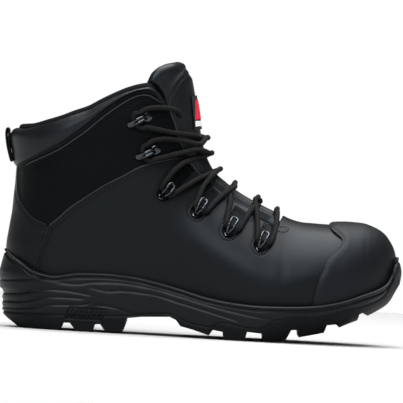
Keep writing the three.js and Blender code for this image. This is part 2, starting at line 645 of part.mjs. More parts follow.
// ---- the lacing hardware ----
// A place on the boot given by two points in the side view: +a runs from the first to the second, +n outward.
function placeOn(side, from, to) {
  const start = offSkin(from[0], from[1], side, 0);
  const a = offSkin(to[0], to[1], side, 0).sub(start).normalize();
  const mid = skin((from[0] + to[0]) / 2, (from[1] + to[1]) / 2, side).normal;
  const b = new THREE.Vector3().crossVectors(mid, a).normalize();
  const n = new THREE.Vector3().crossVectors(a, b).normalize();
  const at = (da, db, dn) => {
    const point = start.clone();
    return point.addScaledVector(a, da).addScaledVector(b, db).addScaledVector(n, dn);
  };
  return { at, a, b, n, start };
}
function swept(points, { closed = false, radius = 1, sides = 8, steps = 40, tension = 0.5 }) {
  const curve = new THREE.CatmullRomCurve3(points, closed, "catmullrom", tension);
  const circle = new THREE.Shape(Array.from({ length: sides }, (_, i) => {
    const angle = (2 * Math.PI * i) / sides;
    return new THREE.Vector2(radius * Math.cos(angle), radius * Math.sin(angle));
  }));
  return solid(new THREE.ExtrudeGeometry(circle, { steps, extrudePath: curve, bevelEnabled: false }));
}
function disc(place, da, n0, n1, radius, sides = 14) {
  const g = new THREE.CylinderGeometry(radius, radius, n1 - n0, sides);
  g.applyQuaternion(new THREE.Quaternion().setFromUnitVectors(new THREE.Vector3(0, 1, 0), place.n));
  const c = place.at(da, 0, (n0 + n1) / 2);
  g.translate(c.x, c.y, c.z);
  return solid(g);
}
// A closed wire loop that springs from its foot, arches over the lace and ends in a round nose.
function laceLoop(side, { foot, top }) {
  const place = placeOn(side, foot, top);
  const wire = [
    [0.8, 0, -0.9], [1.8, 1.1, 2.2], [4, 1.9, 5.9], [8.5, 2.3, 7], [12.2, 2, 6], [13.6, 0, 5.3],
    [12.2, -2, 6], [8.5, -2.3, 7], [4, -1.9, 5.9], [1.8, -1.1, 2.2],
  ].map((p) => place.at(...p));
  const ring = swept(wire, { closed: true, radius: 0.95, sides: 5, steps: 16 });
  return ring.add(disc(place, 0.9, -1.7, -0.55, 2.1, 8));
}
// An open hook: two ridges side by side, riveted at the front and open toward the heel.
const HOOKS = [
  { foot: [113, 141.5], tip: [98.5, 134.8] },
  { foot: [105, 166.5], tip: [90.5, 158.6] },
];
function speedHook(side, { foot, tip }) {
  const place = placeOn(side, foot, tip);
  const ridge = (b) => swept(
    [[0.4, b, 1], [2.2, b, 4.6], [6, b, 6.9], [11, b, 6.2], [15.4, b * 0.9, 3.2]].map((p) => place.at(...p)),
    { radius: 1.25, sides: 5, steps: 8 },
  );
  const base = disc(place, -0.6, GAP, 1.6, 4.2, 12);
  return ridge(1.15).add(ridge(-1.15)).add(base);
}
for (const [side, word] of [[OUTER, "lateral"], [INNER, "medial"]]) {
  LOOPS.forEach((loop, i) => add(`lace_loop_${word}_${i + 1}`, laceLoop(side, loop), GUNMETAL));
  HOOKS.forEach((hook, i) => add(`speed_hook_${word}_${i + 1}`, speedHook(side, hook), GUNMETAL));
}

// ---- the lace ----
// Runs on one side of the boot, [x, z, height above the skin], each from the outside toward the middle.
const HIGH = 2.9;
const RUNS = {
  A: [[98.5, 168.5], [104, 172.3], [112, 174], [120, 174.2], [125.5, 173]],
  B: [[106.5, 158.6], [114, 157.4], [123, 156], [133, 155], [143, 154.6]],
  C: [[106.3, 144.8], [110.5, 148.6], [120, 150.6], [133, 149.6], [144, 147.6]],
  D: [[113.5, 134.8], [121, 137], [132, 140.5], [143.5, 143.2]],
  E: [[121, 115.5], [124, 121], [128.5, 127.3], [135, 133], [144.5, 137.2]],
  F: [[129, 108.8], [138.5, 115.5], [147, 121], [155, 125.4]],
  G: [[147.2, 102.5], [148.8, 109], [152, 117], [156.5, 123.5]],
  H: [[156.5, 97.8], [162, 104.4], [168.5, 110.6], [174, 113.6]],
  I: [[171.2, 89], [171.8, 96.5], [172.6, 104.5], [172.6, 112]],
  J: [[181.4, 84.6], [185.6, 92.5], [190.6, 100.3], [195.2, 103.4]],
  K: [[195.2, 79.5], [194.6, 88.5], [193.2, 97.5], [190.8, 104.4]],
  L: [[206.2, 76.2], [208.6, 84], [209.4, 92], [209.3, 97.2]],
};
const run = (name, side, inward, extra = 0) => {
  const points = RUNS[name].map(([x, z], i, all) => {
    return offSkin(x, z, side, HIGH + (i === all.length - 1 ? extra : 0));
  });
  return inward ? points : points.reverse();
};
// The lace under a loop, from its toe side to its heel side, or under a hook from its top to its underside.
const underLoop = (side, i, toHeel) => {
  const place = placeOn(side, LOOPS[i].foot, LOOPS[i].top);
  const across = [4.6, 1.6, -1.6, -4.6].map((b) => place.at(6, side * b, 2.75));
  return toHeel ? across : across.reverse();
};
const underHook = (side, i, topDown) => {
  const place = placeOn(side, HOOKS[i].foot, HOOKS[i].tip);
  const across = [[6.4, 6.4], [9.4, 2.6], [9.4, -2.6], [6.4, -6.4]].map(([a, b]) => place.at(a, side * b, 3));
  return topDown ? across : across.reverse();
};
// Three points that carry the lace over the middle of the instep. `down` points from the ridge into the boot.
function crossing(from, x, z, down, height) {
  const beside = (side) => offSkin(x + 1.3 * down[0], z + 1.3 * down[1], side, height);
  return [beside(from), offSkin(x, z, OUTER, height, true), beside(-from)];
}
// From the lace's end beside the tongue down to the bar across the throat; `over` lifts it at the crossings.
function halfLace(first, over) {
  const second = -first;
  const rise = over ? 4.6 : 0;
  return [
    offSkin(131, 168.5, first, 0.4), offSkin(129.2, 171, first, 1.8),
    ...run("A", first, false), ...underHook(first, 1, true), ...run("B", first, true, rise),
    ...crossing(first, 149.2, 153, [-0.98, -0.2], HIGH + rise),
    ...run("C", second, false, rise), ...underHook(second, 0, true), ...run("D", second, true, rise),
    ...crossing(second, 153, 141, [-0.88, -0.47], HIGH + rise),
    ...run("E", first, false, rise), ...underLoop(first, 0, false), ...run("F", first, true, rise),
    ...crossing(first, 161, ridgeZ(161), [-0.7, -0.7], HIGH + rise),
    ...run("G", second, false, rise), ...underLoop(second, 1, false), ...run("H", second, true, rise),
    ...crossing(second, 174, ridgeZ(174), [-0.5, -0.87], HIGH + rise),
    ...run("I", first, false, rise), ...underLoop(first, 2, false), ...run("J", first, true, rise),
    ...crossing(first, 193, ridgeZ(193), [-0.42, -0.9], HIGH + rise),
    ...run("K", second, false, rise), ...underLoop(second, 3, false), ...run("L", second, true),
  ];
}
const lacePoints = [
  ...halfLace(OUTER, false),
  ...crossing(INNER, 209.3, ridgeZ(209.3), [-0.4, -0.92], HIGH),
  ...halfLace(INNER, true).reverse(),
];
add("lace", swept(lacePoints, { radius: LACE_R, sides: 6, steps: 300 }), TEXTILE);

// ---- the pull tab and the tongue's label ----
const tabOutline = [
  [3.7, 126.4], [0.5, 133], [-2.1, 141], [-3.4, 149], [-2.9, 152.3], [-1.2, 153.7], [0.6, 152.6], [1.3, 149],
  [1.3, 141.5], [2.4, 134], [4.5, 128.2],
];
const tabSlot = [[-0.3, 138.5], [-1.6, 149], [-1, 151.6], [-0.3, 149], [0.2, 140]];
add("pull_tab", sidePrism(tabOutline, -10, 10).subtract(sidePrism(tabSlot, -12, 12)), TEXTILE);

add("tongue_label", shell([OUTER, INNER].map((side) => {
  const face = (height) => sampled((t) => t, 0, 1, 7).map(([t]) => {
    const p = instepCurve.getPoint(mix(0.74, 0.84, t));
    const along = instepCurve.getTangent(mix(0.74, 0.84, t));
    return [0, 0.25, 1, 2.4, 4.4].map((v) => offSkin(p.x - along.z * v, p.z + along.x * v, side, height, v === 0));
  });
  return { outside: face(1.15), inside: face(0.25), flip: side === OUTER };
})), LABEL);

for (const mesh of boot.children) mesh.geometry.translate(CENTRE_SHIFT[0], CENTRE_SHIFT[1], 0);
export default boot;
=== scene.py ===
"""A steel toe work boot seen from its outer side. The surface is drawn in millimetres from the heel,
as the CAD part is, and turned into metres in the row frame at the end of each piece."""

import math

import bpy
import numpy as np
from mathutils import Matrix, Vector


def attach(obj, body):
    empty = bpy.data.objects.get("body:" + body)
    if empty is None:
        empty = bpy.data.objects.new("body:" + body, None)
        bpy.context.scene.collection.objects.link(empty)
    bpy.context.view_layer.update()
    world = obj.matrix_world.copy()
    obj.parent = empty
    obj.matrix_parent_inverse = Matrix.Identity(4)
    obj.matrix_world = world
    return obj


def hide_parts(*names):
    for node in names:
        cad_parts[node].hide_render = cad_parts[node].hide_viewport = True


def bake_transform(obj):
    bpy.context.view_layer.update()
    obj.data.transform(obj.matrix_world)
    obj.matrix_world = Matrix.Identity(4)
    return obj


# ---- driving dimensions, millimetres ----
SHIFT = np.array([-153.05, 1.55, 0.0])  # from the drawing's origin at the heel to the row frame
TOE_X = 303.0
OUTER, INNER = -1, 1
LEATHER = 1.9  # the outer panels' thickness
LINING = (-4.95, -6.05)  # the lining's two faces, from the outside of the leather
LACE_R = 2.0
GAP = 0.35  # between the upper and the sole's inside
REACH_Y = 95  # beyond the boot on either side
VAMP_OPENS, LINING_OPENS = 209, 212  # from here back they are open over the instep
FOOTBED_MID, FOOTBED_HALF = 5.85, 1.85  # its middle over the board, and half its thickness
LENS = 400.0
SENSOR = 36.0
FRAME_WIDTH = 0.3126  # what the picture spans at the boot, metres
AIM_X, AIM_Z = -0.00185, 0.1044  # the picture's middle, metres
ROLL = 3.24  # degrees


# ---- camera first ----
def look():
    camera = bpy.data.objects.new("camera", bpy.data.cameras.new("camera"))
    bpy.context.scene.collection.objects.link(camera)
    camera.data.lens = LENS
    camera.data.sensor_width = SENSOR
    camera.data.clip_end = 60
    distance = FRAME_WIDTH * LENS / SENSOR
    camera.location = (AIM_X, -distance, AIM_Z)
    camera.rotation_euler = (Matrix.Rotation(math.radians(90), 4, "X") @ Matrix.Rotation(
        math.radians(ROLL), 4, "Z")).to_euler()
    bpy.context.scene.camera = camera


look()
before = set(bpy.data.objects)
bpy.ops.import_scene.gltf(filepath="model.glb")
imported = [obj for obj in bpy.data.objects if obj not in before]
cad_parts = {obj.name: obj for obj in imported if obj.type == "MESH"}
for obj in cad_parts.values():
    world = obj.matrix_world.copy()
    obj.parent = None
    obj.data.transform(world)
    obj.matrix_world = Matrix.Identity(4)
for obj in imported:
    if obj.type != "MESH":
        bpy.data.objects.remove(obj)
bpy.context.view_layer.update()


# ---- small maths ----
def mix(a, b, t):
    return a + (b - a) * t


def ease(lo, hi, v):
    t = np.clip((np.asarray(v, float) - lo) / (hi - lo), 0, 1)
    return t * t * (3 - 2 * t)


def through(points):
    """A smooth function through points, which doesn't swing past them."""
    xs, ys = np.array(points, float).T
    h = np.diff(xs)
    d = np.diff(ys) / h
    m = np.zeros(len(xs))
    m[0], m[-1] = d[0], d[-1]
    same = d[:-1] * d[1:] > 0
    with np.errstate(divide="ignore", invalid="ignore"):
        m[1:-1] = np.where(same, 2 * d[:-1] * d[1:] / (d[:-1] + d[1:]), 0)

    def at(x):
        x = np.asarray(x, float)
        i = np.clip(np.searchsorted(xs, x, "right") - 1, 0, len(h) - 1)
        t = np.clip((x - xs[i]) / h[i], 0, 1)
        return ((2 * t**3 - 3 * t**2 + 1) * ys[i] + (t**3 - 2 * t**2 + t) * m[i] * h[i]
                + (3 * t**2 - 2 * t**3) * ys[i + 1] + (t**3 - t**2) * m[i + 1] * h[i])

    return at


def hermite(t, start, end, leave, arrive):
    """A cubic from start to end, t from 0 to 1, with a tangent at each."""
    return ((2 * t**3 - 3 * t**2 + 1) * start + (t**3 - 2 * t**2 + t) * leave
            + (3 * t**2 - 2 * t**3) * end + (t**3 - t**2) * arrive)


def catmull(points, closed=False):
    """A smooth line through points, with 24 steps in each stretch."""
    p = np.array(points, float)
    if closed:
        p = np.vstack([p[-1], p, p[:2]])
    else:
        p = np.vstack([2 * p[0] - p[1], p, 2 * p[-1] - p[-2]])
    out = []
    t = (np.arange(24) / 24)[:, None]
    for p0, p1, p2, p3 in zip(p[:-3], p[1:-2], p[2:-1], p[3:]):
        k0, k1, k2 = [math.sqrt(max(1e-6, float(np.linalg.norm(q)))) for q in (p1 - p0, p2 - p1, p3 - p2)]
        m1 = (p2 - p1) - (p2 - p0) * k1 / (k0 + k1) + (p1 - p0) * k1 / k0
        m2 = (p2 - p1) - (p3 - p1) * k1 / (k1 + k2) + (p3 - p2) * k1 / k2
        out.append(hermite(t, p1, p2, m1, m2))
    return np.vstack(out + [out[0][:1] if closed else p[-2][None]])


def curve(points, step=0.8, closed=False):
    """A smooth line through points, as evenly spaced points."""
    return spaced(catmull(points, closed), step)


def spaced(line, step):
    """The same line with points every `step`."""
    line = np.asarray(line, float)
    run = np.concatenate([[0], np.cumsum(np.linalg.norm(np.diff(line, axis=0), axis=1))])
    n = max(2, int(round(run[-1] / step)) + 1)
    at = np.linspace(0, run[-1], n)
    return np.stack([np.interp(at, run, line[:, k]) for k in range(line.shape[1])], 1)


def uniform_catmull(points, step):
    """A smooth line through points whose tangents are half of what spans their neighbours."""
    p = np.asarray(points, float)
    p = np.vstack([2 * p[0] - p[1], p, 2 * p[-1] - p[-2]])
    t = (np.arange(12) / 12)[:, None]
    out = []
    for p0, p1, p2, p3 in zip(p[:-3], p[1:-2], p[2:-1], p[3:]):
        m1, m2 = (p2 - p0) / 2, (p3 - p1) / 2
        out.append(hermite(t, p1, p2, m1, m2))
    return spaced(np.vstack(out + [p[-2][None]]), step)


def moved(points, dx, dz):
    return [(x + dx, z + dz) for x, z in points]


# ---- the upper's lines, seen from the side ----
back_x = through([(20, 5), (40, 2.6), (62, 1.8), (76, 3.2), (92, 5), (125, 6), (160, 5.5)])
board_z = through([(0, 32), (30, 30.5), (60, 29.5), (100, 27.5), (140, 23), (170, 19.5), (200, 18),
                   (230, 19.5), (250, 23), (270, 28.5), (285, 34.5), (303, 43)])
ridge_z = through([(160, 128.8), (170, 119.8), (182, 112), (194, 106), (203, 102), (212, 98.5), (222, 95),
                   (235, 92.8), (250, 92.2), (265, 93.2), (276, 92.8), (286, 90), (293, 86), (298, 80),
                   (301, 74.5), (303, 68)])
INSTEP = [(x, float(ridge_z(x))) for x in (231, 221, 212, 203, 194, 182, 170, 160)] + [
    (153, 141), (149, 154), (145.5, 171), (142, 187), (138.4, 202), (134, 222)]
collar_top_z = through([(0, 155), (6, 156.5), (15, 157.2), (30, 161.5), (40, 164.8), (50, 169),
                        (60, 173), (70, 179), (80, 184.5), (90, 189.2), (100, 192.5), (106, 193.6),
                        (112, 191), (118, 184), (121, 179)])
collar_seam_z = through([(0, 122), (8.5, 125), (20, 130.8), (30, 135.8), (40, 141.5), (50, 149), (60, 157),
                         (70, 166.5), (80, 174.5), (90, 181.5), (97, 185), (104, 186.2), (110, 185),
                         (115, 181), (118, 176)])
eyestay_z = through([(117, 183), (122, 175.5), (127, 165), (131, 154), (136, 143), (142, 133.5), (150, 125),
                     (158, 118), (168, 110.5), (178, 104), (188, 98), (198, 92.5), (207, 89),
                     (216, 86.5), (250, 84), (275, 80), (290, 72), (300, 62), (303, 58)])
lip_z = through([(-8, 61.5), (0, 61), (5, 56.5), (15, 50.4), (25, 44.4), (40, 41.4), (60, 44.6), (80, 45.3),
                 (100, 44.2), (120, 41), (140, 36.4), (160, 31.4), (180, 28.5), (200, 27.4), (220, 27.9),
                 (240, 29.3), (260, 33.1), (280, 40.2), (293, 45.5), (299, 50), (302.5, 56), (304.6, 64),
                 (306, 70.5), (320, 70.6)])

# ---- widths, seen from above ----
centre_y = through([(0, 0), (100, -1), (190, -2), (240, 1.5), (303, 7)])
foot_half = {
    OUTER: through([(0, 33), (20, 34), (60, 35), (100, 35), (130, 38.5), (160, 44), (190, 48.5), (215, 50),
                    (303, 50)]),
    INNER: through([(0, 33), (20, 34), (60, 34), (100, 31.5), (130, 32.5), (160, 38), (190, 44.5),
                    (220, 48.5), (303, 48.5)]),
}
shaft_half = through([(60, 37), (100, 40), (130, 41), (160, 42), (200, 40)])
ridge_round = through([(130, 0.9), (165, 0.62), (205, 0.5), (235, 0.75), (265, 1)])

INSTEP_LINE = curve(INSTEP, 0.25)

# The distance to the instep line, worked out once on a half-millimetre grid.
GRID_X, GRID_Z = np.arange(-12, 232, 0.5), np.arange(10, 232, 0.5)


def instep_distances():
    rows = []
    for z in GRID_Z:
        dx = GRID_X[:, None] - INSTEP_LINE[None, :, 0]
        dz = z - INSTEP_LINE[None, :, 1]
        rows.append(np.sqrt((dx**2 + dz**2).min(1)))
    return np.array(rows)


INSTEP_FAR = instep_distances()


def nearest_instep(x, z):
    u = np.clip((x - GRID_X[0]) / 0.5, 0, len(GRID_X) - 1.001)
    v = np.clip((z - GRID_Z[0]) / 0.5, 0, len(GRID_Z) - 1.001)
    i, j = u.astype(int), v.astype(int)
    u, v = u - i, v - j
    low = INSTEP_FAR[j, i] * (1 - u) + INSTEP_FAR[j, i + 1] * u
    high = INSTEP_FAR[j + 1, i] * (1 - u) + INSTEP_FAR[j + 1, i + 1] * u
    return low * (1 - v) + high * v


def under_ridge(x, z):
    """How far a point in the side view is under the instep or the ridge of the toe box."""
    slope = np.where(x > 280, 0, (ridge_z(x + 1) - ridge_z(x - 1)) / 2)
    straight = np.maximum(0, ridge_z(x) - z) / np.hypot(1, slope)
    share = ease(192, 208, x)
    return np.where(x >= 208, straight, mix(nearest_instep(x, z), straight, share))


def half_squared(x, z, side):
    """The square of the half width: smooth, and 0 on the outline."""
    shaft_share = ease(70, 125, z) * (1 - ease(120, 190, x))
    wall = mix(foot_half[side](x), shaft_half(z), shaft_share)
    wall = wall * (1 - 0.1 * np.clip((board_z(x) + 22 - z) / 25, 0, 1) ** 2)
    toe = 1 - (np.clip(x - 222, 0, None) / (TOE_X - 222)) ** 2.6
    back = 1 - (1 - np.clip((x - back_x(z)) / 42, 0, 1)) ** 2
    depth = mix(56, 0.8 * np.maximum(8, ridge_z(x) - board_z(x) - 12), ease(150, 240, x))
    d = np.clip(under_ridge(x, z) / depth, 0, 1)
    r = ridge_round(x)
    top = r * (2 * d - d * d) + (1 - r) * d * d * (3 - 2 * d)
    return wall**2 * np.maximum(0, toe) * back * top


def skin(x, z, side, on_ridge=False):
    """Points on the outside of the leather, and their outward normals."""
    x, z = np.broadcast_arrays(np.asarray(x, float), np.asarray(z, float))
    on_ridge = np.broadcast_to(on_ridge, x.shape)
    square = half_squared(x, z, side)
    half = np.where(on_ridge | (square < 1e-4), 0, np.sqrt(square))
    e = 0.2
    gx = np.where(on_ridge & (x < 208), x - 0.4, x)
    gz = np.where(on_ridge, z - 0.4, z)

    def slopes(which):
        ahead = np.minimum(gx + e, TOE_X)
        behind = np.minimum(gx - e, TOE_X)
        dx = half_squared(ahead, gz, which) - half_squared(behind, gz, which)
        dx = dx / np.maximum(1e-6, ahead - behind)
        dz = (half_squared(gx, gz + e, which) - half_squared(gx, gz - e, which)) / (2 * e)
        return dx, dz

    dx, dz = slopes(side)
    ox, oz = slopes(OUTER)
    dx, dz = np.where(on_ridge, ox, dx), np.where(on_ridge, oz, dz)
    lean = (centre_y(x + e) - centre_y(x - e)) / (2 * e)
    n = np.stack([-dx - 2 * side * half * lean, 2 * side * half, -dz], -1)
    n = n / np.maximum(1e-9, np.linalg.norm(n, axis=-1, keepdims=True))
    return np.stack([x, centre_y(x) + side * half, z], -1), n


def off_skin(x, z, side, distance, on_ridge=False):
    p, n = skin(x, z, side, on_ridge)
    return p + n * np.asarray(distance, float)[..., None]


def column_x(c, z):
    """Where column c stands at height z: upright, but following the boot's back at the heel."""
    return np.minimum(TOE_X, c + 5 + (back_x(z) - 5) * (1 - ease(0, 60, c)))


# ---- meshes ----
def make(name, points, faces, smooth=True):
    """A mesh object in the row frame, from points in drawing millimetres."""
    mesh = bpy.data.meshes.new(name)
    mesh.from_pydata(((np.asarray(points) + SHIFT) / 1000).tolist(), [], faces)
    mesh.validate()
    mesh.update()
    obj = bpy.data.objects.new(name, mesh)
    bpy.context.scene.collection.objects.link(obj)
    if smooth:
        mesh.shade_smooth()
    return obj


def grid_faces(ids, flip):
    a, b, c, d = ids[:-1, :-1], ids[1:, :-1], ids[1:, 1:], ids[:-1, 1:]
    quads = np.stack([a, b, c, d], -1).reshape(-1, 4)
    return quads[:, ::-1] if flip else quads


def shell_data(grids):
    """Closed shell from [(outside, inside, flip), ...]. Outside points that fall together are joined."""
    stacked = np.vstack([g[0].reshape(-1, 3) for g in grids])
    inner = np.vstack([g[1].reshape(-1, 3) for g in grids])
    _, first, ids = np.unique(np.round(stacked * 250).astype(np.int64), axis=0, return_index=True,
                              return_inverse=True)
    ids = ids.reshape(-1)
    start, quads = 0, []
    for outside, _, flip in grids:
        n, m = outside.shape[:2]
        quads.append(grid_faces(ids[start:start + n * m].reshape(n, m), flip))
        start += n * m
    quads = np.vstack(quads)
    count = len(first)
    points = np.vstack([stacked[first], inner[first]])
    faces, edges = [], {}
    for q in quads.tolist():
        f = [v for i, v in enumerate(q) if v != q[i - 1]]
        if len(set(f)) < 3:
            continue
        faces.append(f)
        faces.append([v + count for v in reversed(f)])
        for i, v in enumerate(f):
            edges[(f[i - 1], v)] = True
    for a, b in edges:
        if (b, a) not in edges:
            faces.append([b, a, a + count, b + count])
    return points, faces


def shell(name, grids):
    return make(name, *shell_data(grids))


def both_sides(x, z, out, inn, flipped=INNER, on_ridge=False):
    """The grids of a layer on both sides of the boot, whose faces stand `out` and `inn` off the skin."""
    grids = []
    for side in (OUTER, INNER):
        p, n = skin(x, z, side, on_ridge)
        o = out(x, z, side) if callable(out) else out
        grids.append((p + n * np.asarray(o)[..., None], p + n * np.asarray(inn)[..., None], side == flipped))
    return grids


def cut(obj, tool, how):
    """A boolean, applied at once. The tool is used up."""
    m = obj.modifiers.new("cut", "BOOLEAN")
    m.operation, m.solver, m.object = how, "MANIFOLD", tool
    done = bpy.data.meshes.new_from_object(obj.evaluated_get(bpy.context.evaluated_depsgraph_get()))
    obj.modifiers.remove(m)
    old = obj.data
    obj.data = done
    bpy.data.meshes.remove(old)
    used = tool.data
    bpy.data.objects.remove(tool)
    bpy.data.meshes.remove(used)
    return obj


def prism(outline, y0=-REACH_Y, y1=REACH_Y):
    """A tool for cuts: a side-view outline drawn out from y0 to y1."""
    pts = np.asarray(outline, float)
    if np.linalg.norm(pts[0] - pts[-1]) < 0.05:
        pts = pts[:-1]
    x, z = pts[:, 0], pts[:, 1]
    area = np.sum(x * np.roll(z, -1) - np.roll(x, -1) * z)
    if area < 0:
        pts = pts[::-1]
    n = len(pts)
    near = np.stack([pts[:, 0], np.full(n, float(y0)), pts[:, 1]], 1)
    far = near + [0, y1 - y0, 0]
    faces = [list(range(n)), list(range(2 * n - 1, n - 1, -1))]
    faces += [[i, i + n, (i + 1) % n + n, (i + 1) % n] for i in range(n)]
    return make("tool", np.vstack([near, far]), faces, smooth=False)


def copy_of(obj, name):
    new = bpy.data.objects.new(name, obj.data.copy())
    bpy.context.scene.collection.objects.link(new)
    return new


def ring_faces(count, sides, start=0, closed=False):
    """Faces of a bar: quads between its rings of points, numbered from `start`, and its two ends."""
    faces = []
    for i in range(count if closed else count - 1):
        a, b = start + i * sides, start + (i + 1) % count * sides
        for k in range(sides):
            m = (k + 1) % sides
            faces.append([a + k, a + m, b + m, b + k])
    if not closed:
        faces.append([start + k for k in range(sides)][::-1])
        faces.append([start + (count - 1) * sides + k for k in range(sides)])
    return faces


def tube(line, normals, radius, sides=10, closed=False, squash=1.0):
    """A round bar along a line. `normals` hold its cross-section's upright."""
    line = np.asarray(line, float)
    if closed:
        t = np.roll(line, -1, 0) - np.roll(line, 1, 0)
    else:
        t = np.gradient(line, axis=0)
    t /= np.maximum(1e-9, np.linalg.norm(t, axis=1, keepdims=True))
    n = normals - t * np.sum(normals * t, 1, keepdims=True)
    n /= np.maximum(1e-9, np.linalg.norm(n, axis=1, keepdims=True))
    b = np.cross(t, n)
    angle = np.arange(sides) * 2 * math.pi / sides
    radius = np.broadcast_to(radius, (len(line),))
    rings = (line[:, None] + radius[:, None, None] * (np.cos(angle)[None, :, None] * n[:, None] * squash
             + np.sin(angle)[None, :, None] * b[:, None]))
    return rings.reshape(-1, 3), ring_faces(len(line), sides, closed=closed)


def merged(name, parts):
    points, faces, start = [], [], 0
    for p, f in parts:
        points.append(p)
        faces += [[v + start for v in face] for face in f]
        start += len(p)
    return make(name, np.vstack(points), faces)


# ---- the layers of the upper ----
# The columns of points that the layers share, closer together at the heel and the toe.
LAST_COLUMN = 298
COLUMNS = np.unique(np.concatenate([
    30 * (np.arange(31) / 30) ** 2, np.arange(30, 262, 1.15), LAST_COLUMN - 36 * (np.arange(45) / 44) ** 2]))


def rows_between(x, low, high, f):
    """Heights at shares f from low to high in each column, crowded toward the top over the forefoot."""
    crowding = 1 + 0.9 * ease(190, 212, x)
    return mix(low[:, None], high[:, None], 1 - (1 - f[None, :]) ** crowding[:, None])


def layer(name, out, inn, lift=0.3, rows=96, low_c=0, high_c=LAST_COLUMN):
    """A panel's blank: a shell over both sides, to be cut to its outline. lift is its foot over the board."""
    columns = COLUMNS[(COLUMNS >= low_c) & (COLUMNS <= high_c)]
    x = columns + 5
    low = board_z(x) + lift
    free = np.where(x < 118, collar_seam_z(x) + 6, eyestay_z(x) + 4)
    top = np.where(x >= VAMP_OPENS, ridge_z(x),
                   mix(free, ridge_z(x), ease(VAMP_OPENS - 9, VAMP_OPENS, x)))
    f = np.arange(rows + 1) / rows
    z = rows_between(x, low, top, f)
    on_ridge = (x[:, None] >= VAMP_OPENS) & (f[None, :] == 1)
    return shell(name, both_sides(column_x(columns[:, None], z), z, out, inn, on_ridge=on_ridge))


# ---- seams, seen from the side ----
COUNTER_SEAM = [(25, 40), (25.2, 47), (27, 56), (30, 66), (33, 75), (34.2, 79)]
VAMP_SEAM = [(34.2, 79), (41.5, 85.5), (50, 94), (60, 101.5), (70, 109), (80, 115.4), (90, 121),
             (100, 127.2), (110, 131.6), (122, 135), (134, 138), (138.6, 138.8)]
QUARTER_REAR = [(8.6, 124.8), (8.2, 122), (8.3, 113), (9.2, 104), (10.8, 98), (14.6, 92), (20, 86),
                (26, 82.3), (30, 80.6), (34.2, 79)]
counter_line = curve(COUNTER_SEAM)
vamp_line = curve(VAMP_SEAM)
rear_line = curve(QUARTER_REAR)


def sampled(line, x0, x1, n):
    x = np.linspace(x0, x1, n + 1)
    return np.stack([x, line(x)], 1)


eyestay_low = sampled(eyestay_z, 139.4, 210.6, 110)
eyestay_high = sampled(eyestay_z, 122.6, 138.2, 40)
THROAT = curve([(210.6, 88), (212, 88.6), (212.6, 91), (212.5, 95), (212.2, 99), (212, 108)], 0.5)
seam_top = sampled(collar_seam_z, 9.5, 118.6, 130)
# Each lace loop's foot and top, seen from the side.
LOOPS = [((119.6, 105.6), (128.7, 117)), ((146.7, 93.5), (153.4, 105)), ((172, 80.2), (178, 91.7)),
         ((197, 70.6), (202.3, 82.4))]
NOTCH_HALF = 5.6  # half the width of the U cut out round each loop


def notch(foot, top, half, length, end=2.6):
    """A U seen from the side: round at the loop's foot, with arms that run `length` toward the tongue."""
    along = np.subtract(top, foot) / np.linalg.norm(np.subtract(top, foot))
    aside = np.array([along[1], -along[0]])
    centre = np.array(foot) + along * end
    angles = np.linspace(0, math.pi, 19)
    arc = [centre + half * (math.cos(a) * aside - math.sin(a) * along) for a in angles]
    return np.array([centre + aside * half + along * length] + arc + [centre - aside * half + along * length])


def notch_stitches(foot, top, length):
    """The line of the stitches that run round a loop's U."""
    return curve(notch(foot, top, NOTCH_HALF + 1.5, length, 3), 0.5)


def near_line(x, z, line, reach):
    """Distance from points in the side view to a line, worked out only within `reach` of its box."""
    out = np.full(x.shape, 99.0)
    line = np.asarray(line)
    box = ((x > line[:, 0].min() - reach) & (x < line[:, 0].max() + reach)
           & (z > line[:, 1].min() - reach) & (z < line[:, 1].max() + reach))
    px, pz = x[box], z[box]
    best = np.full(px.shape, 99.0)
    for start in range(0, len(px), 4000):
        dx = px[start:start + 4000, None] - line[None, :, 0]
        dz = pz[start:start + 4000, None] - line[None, :, 1]
        best[start:start + 4000] = np.sqrt((dx**2 + dz**2).min(1))
    out[box] = best
    return out


def dent(distance, width, depth):
    return -depth * np.exp(-(distance / width) ** 2)


def offset_line(line, distance):
    """A side-view line moved to its left by `distance`."""
    line = np.asarray(line, float)
    t = np.gradient(line, axis=0)
    t /= np.linalg.norm(t, axis=1, keepdims=True)
    return line + distance * np.stack([-t[:, 1], t[:, 0]], 1)


# The lines along which stitches press into the leather.
stitch_lines = {
    "vamp": [offset_line(vamp_line, -2.2), offset_line(vamp_line, -4.4),
             offset_line(counter_line, -2.0), offset_line(counter_line, -4.2)],
    "quarter": [offset_line(rear_line, 2.4)[8:-6], offset_line(seam_top, -4.4)[:-6],
                offset_line(seam_top, -6.8)[:-6]],
}


def vamp_face(x, z, side):
    """Hollows along the stitches and round the loops, a swell on the side and a hollow before the throat."""
    o = np.zeros(x.shape)
    for line in stitch_lines["vamp"]:
        o += dent(near_line(x, z, line, 4), 0.9, 0.28)
    for foot, top in LOOPS:
        o += dent(near_line(x, z, notch_stitches(foot, top, 14), 4), 0.8, 0.3)
    o += 0.5 * np.exp(-((x - 150) / 40) ** 2 - ((z - 62) / 18) ** 2)
    o -= 0.8 * np.exp(-((x - 226) / 9) ** 2 - ((z - 88) / 14) ** 2)
    return o


def quarter_face(x, z, side):
    o = np.zeros(x.shape)
    for line in stitch_lines["quarter"]:
        o += dent(near_line(x, z, line, 4), 0.9, 0.28)
    o += 0.6 * np.exp(-((x - 62) / 26) ** 2 - ((z - 118) / 14) ** 2)
    return o


# ---- the outer panels ----
vamp_outline = np.vstack([
    [(25.3, 0)], counter_line[:-1] + [0.15, 0], vamp_line[:-2] + [0.1, -0.15], eyestay_low, THROAT[1:],
    [(330, 120), (330, 0)]])
vamp = layer("vamp_leather", vamp_face, -LEATHER)
cut(vamp, prism(vamp_outline), "INTERSECT")
for foot, top in LOOPS:
    cut(vamp, prism(notch(foot, top, NOTCH_HALF, 45, 3.2)), "DIFFERENCE")

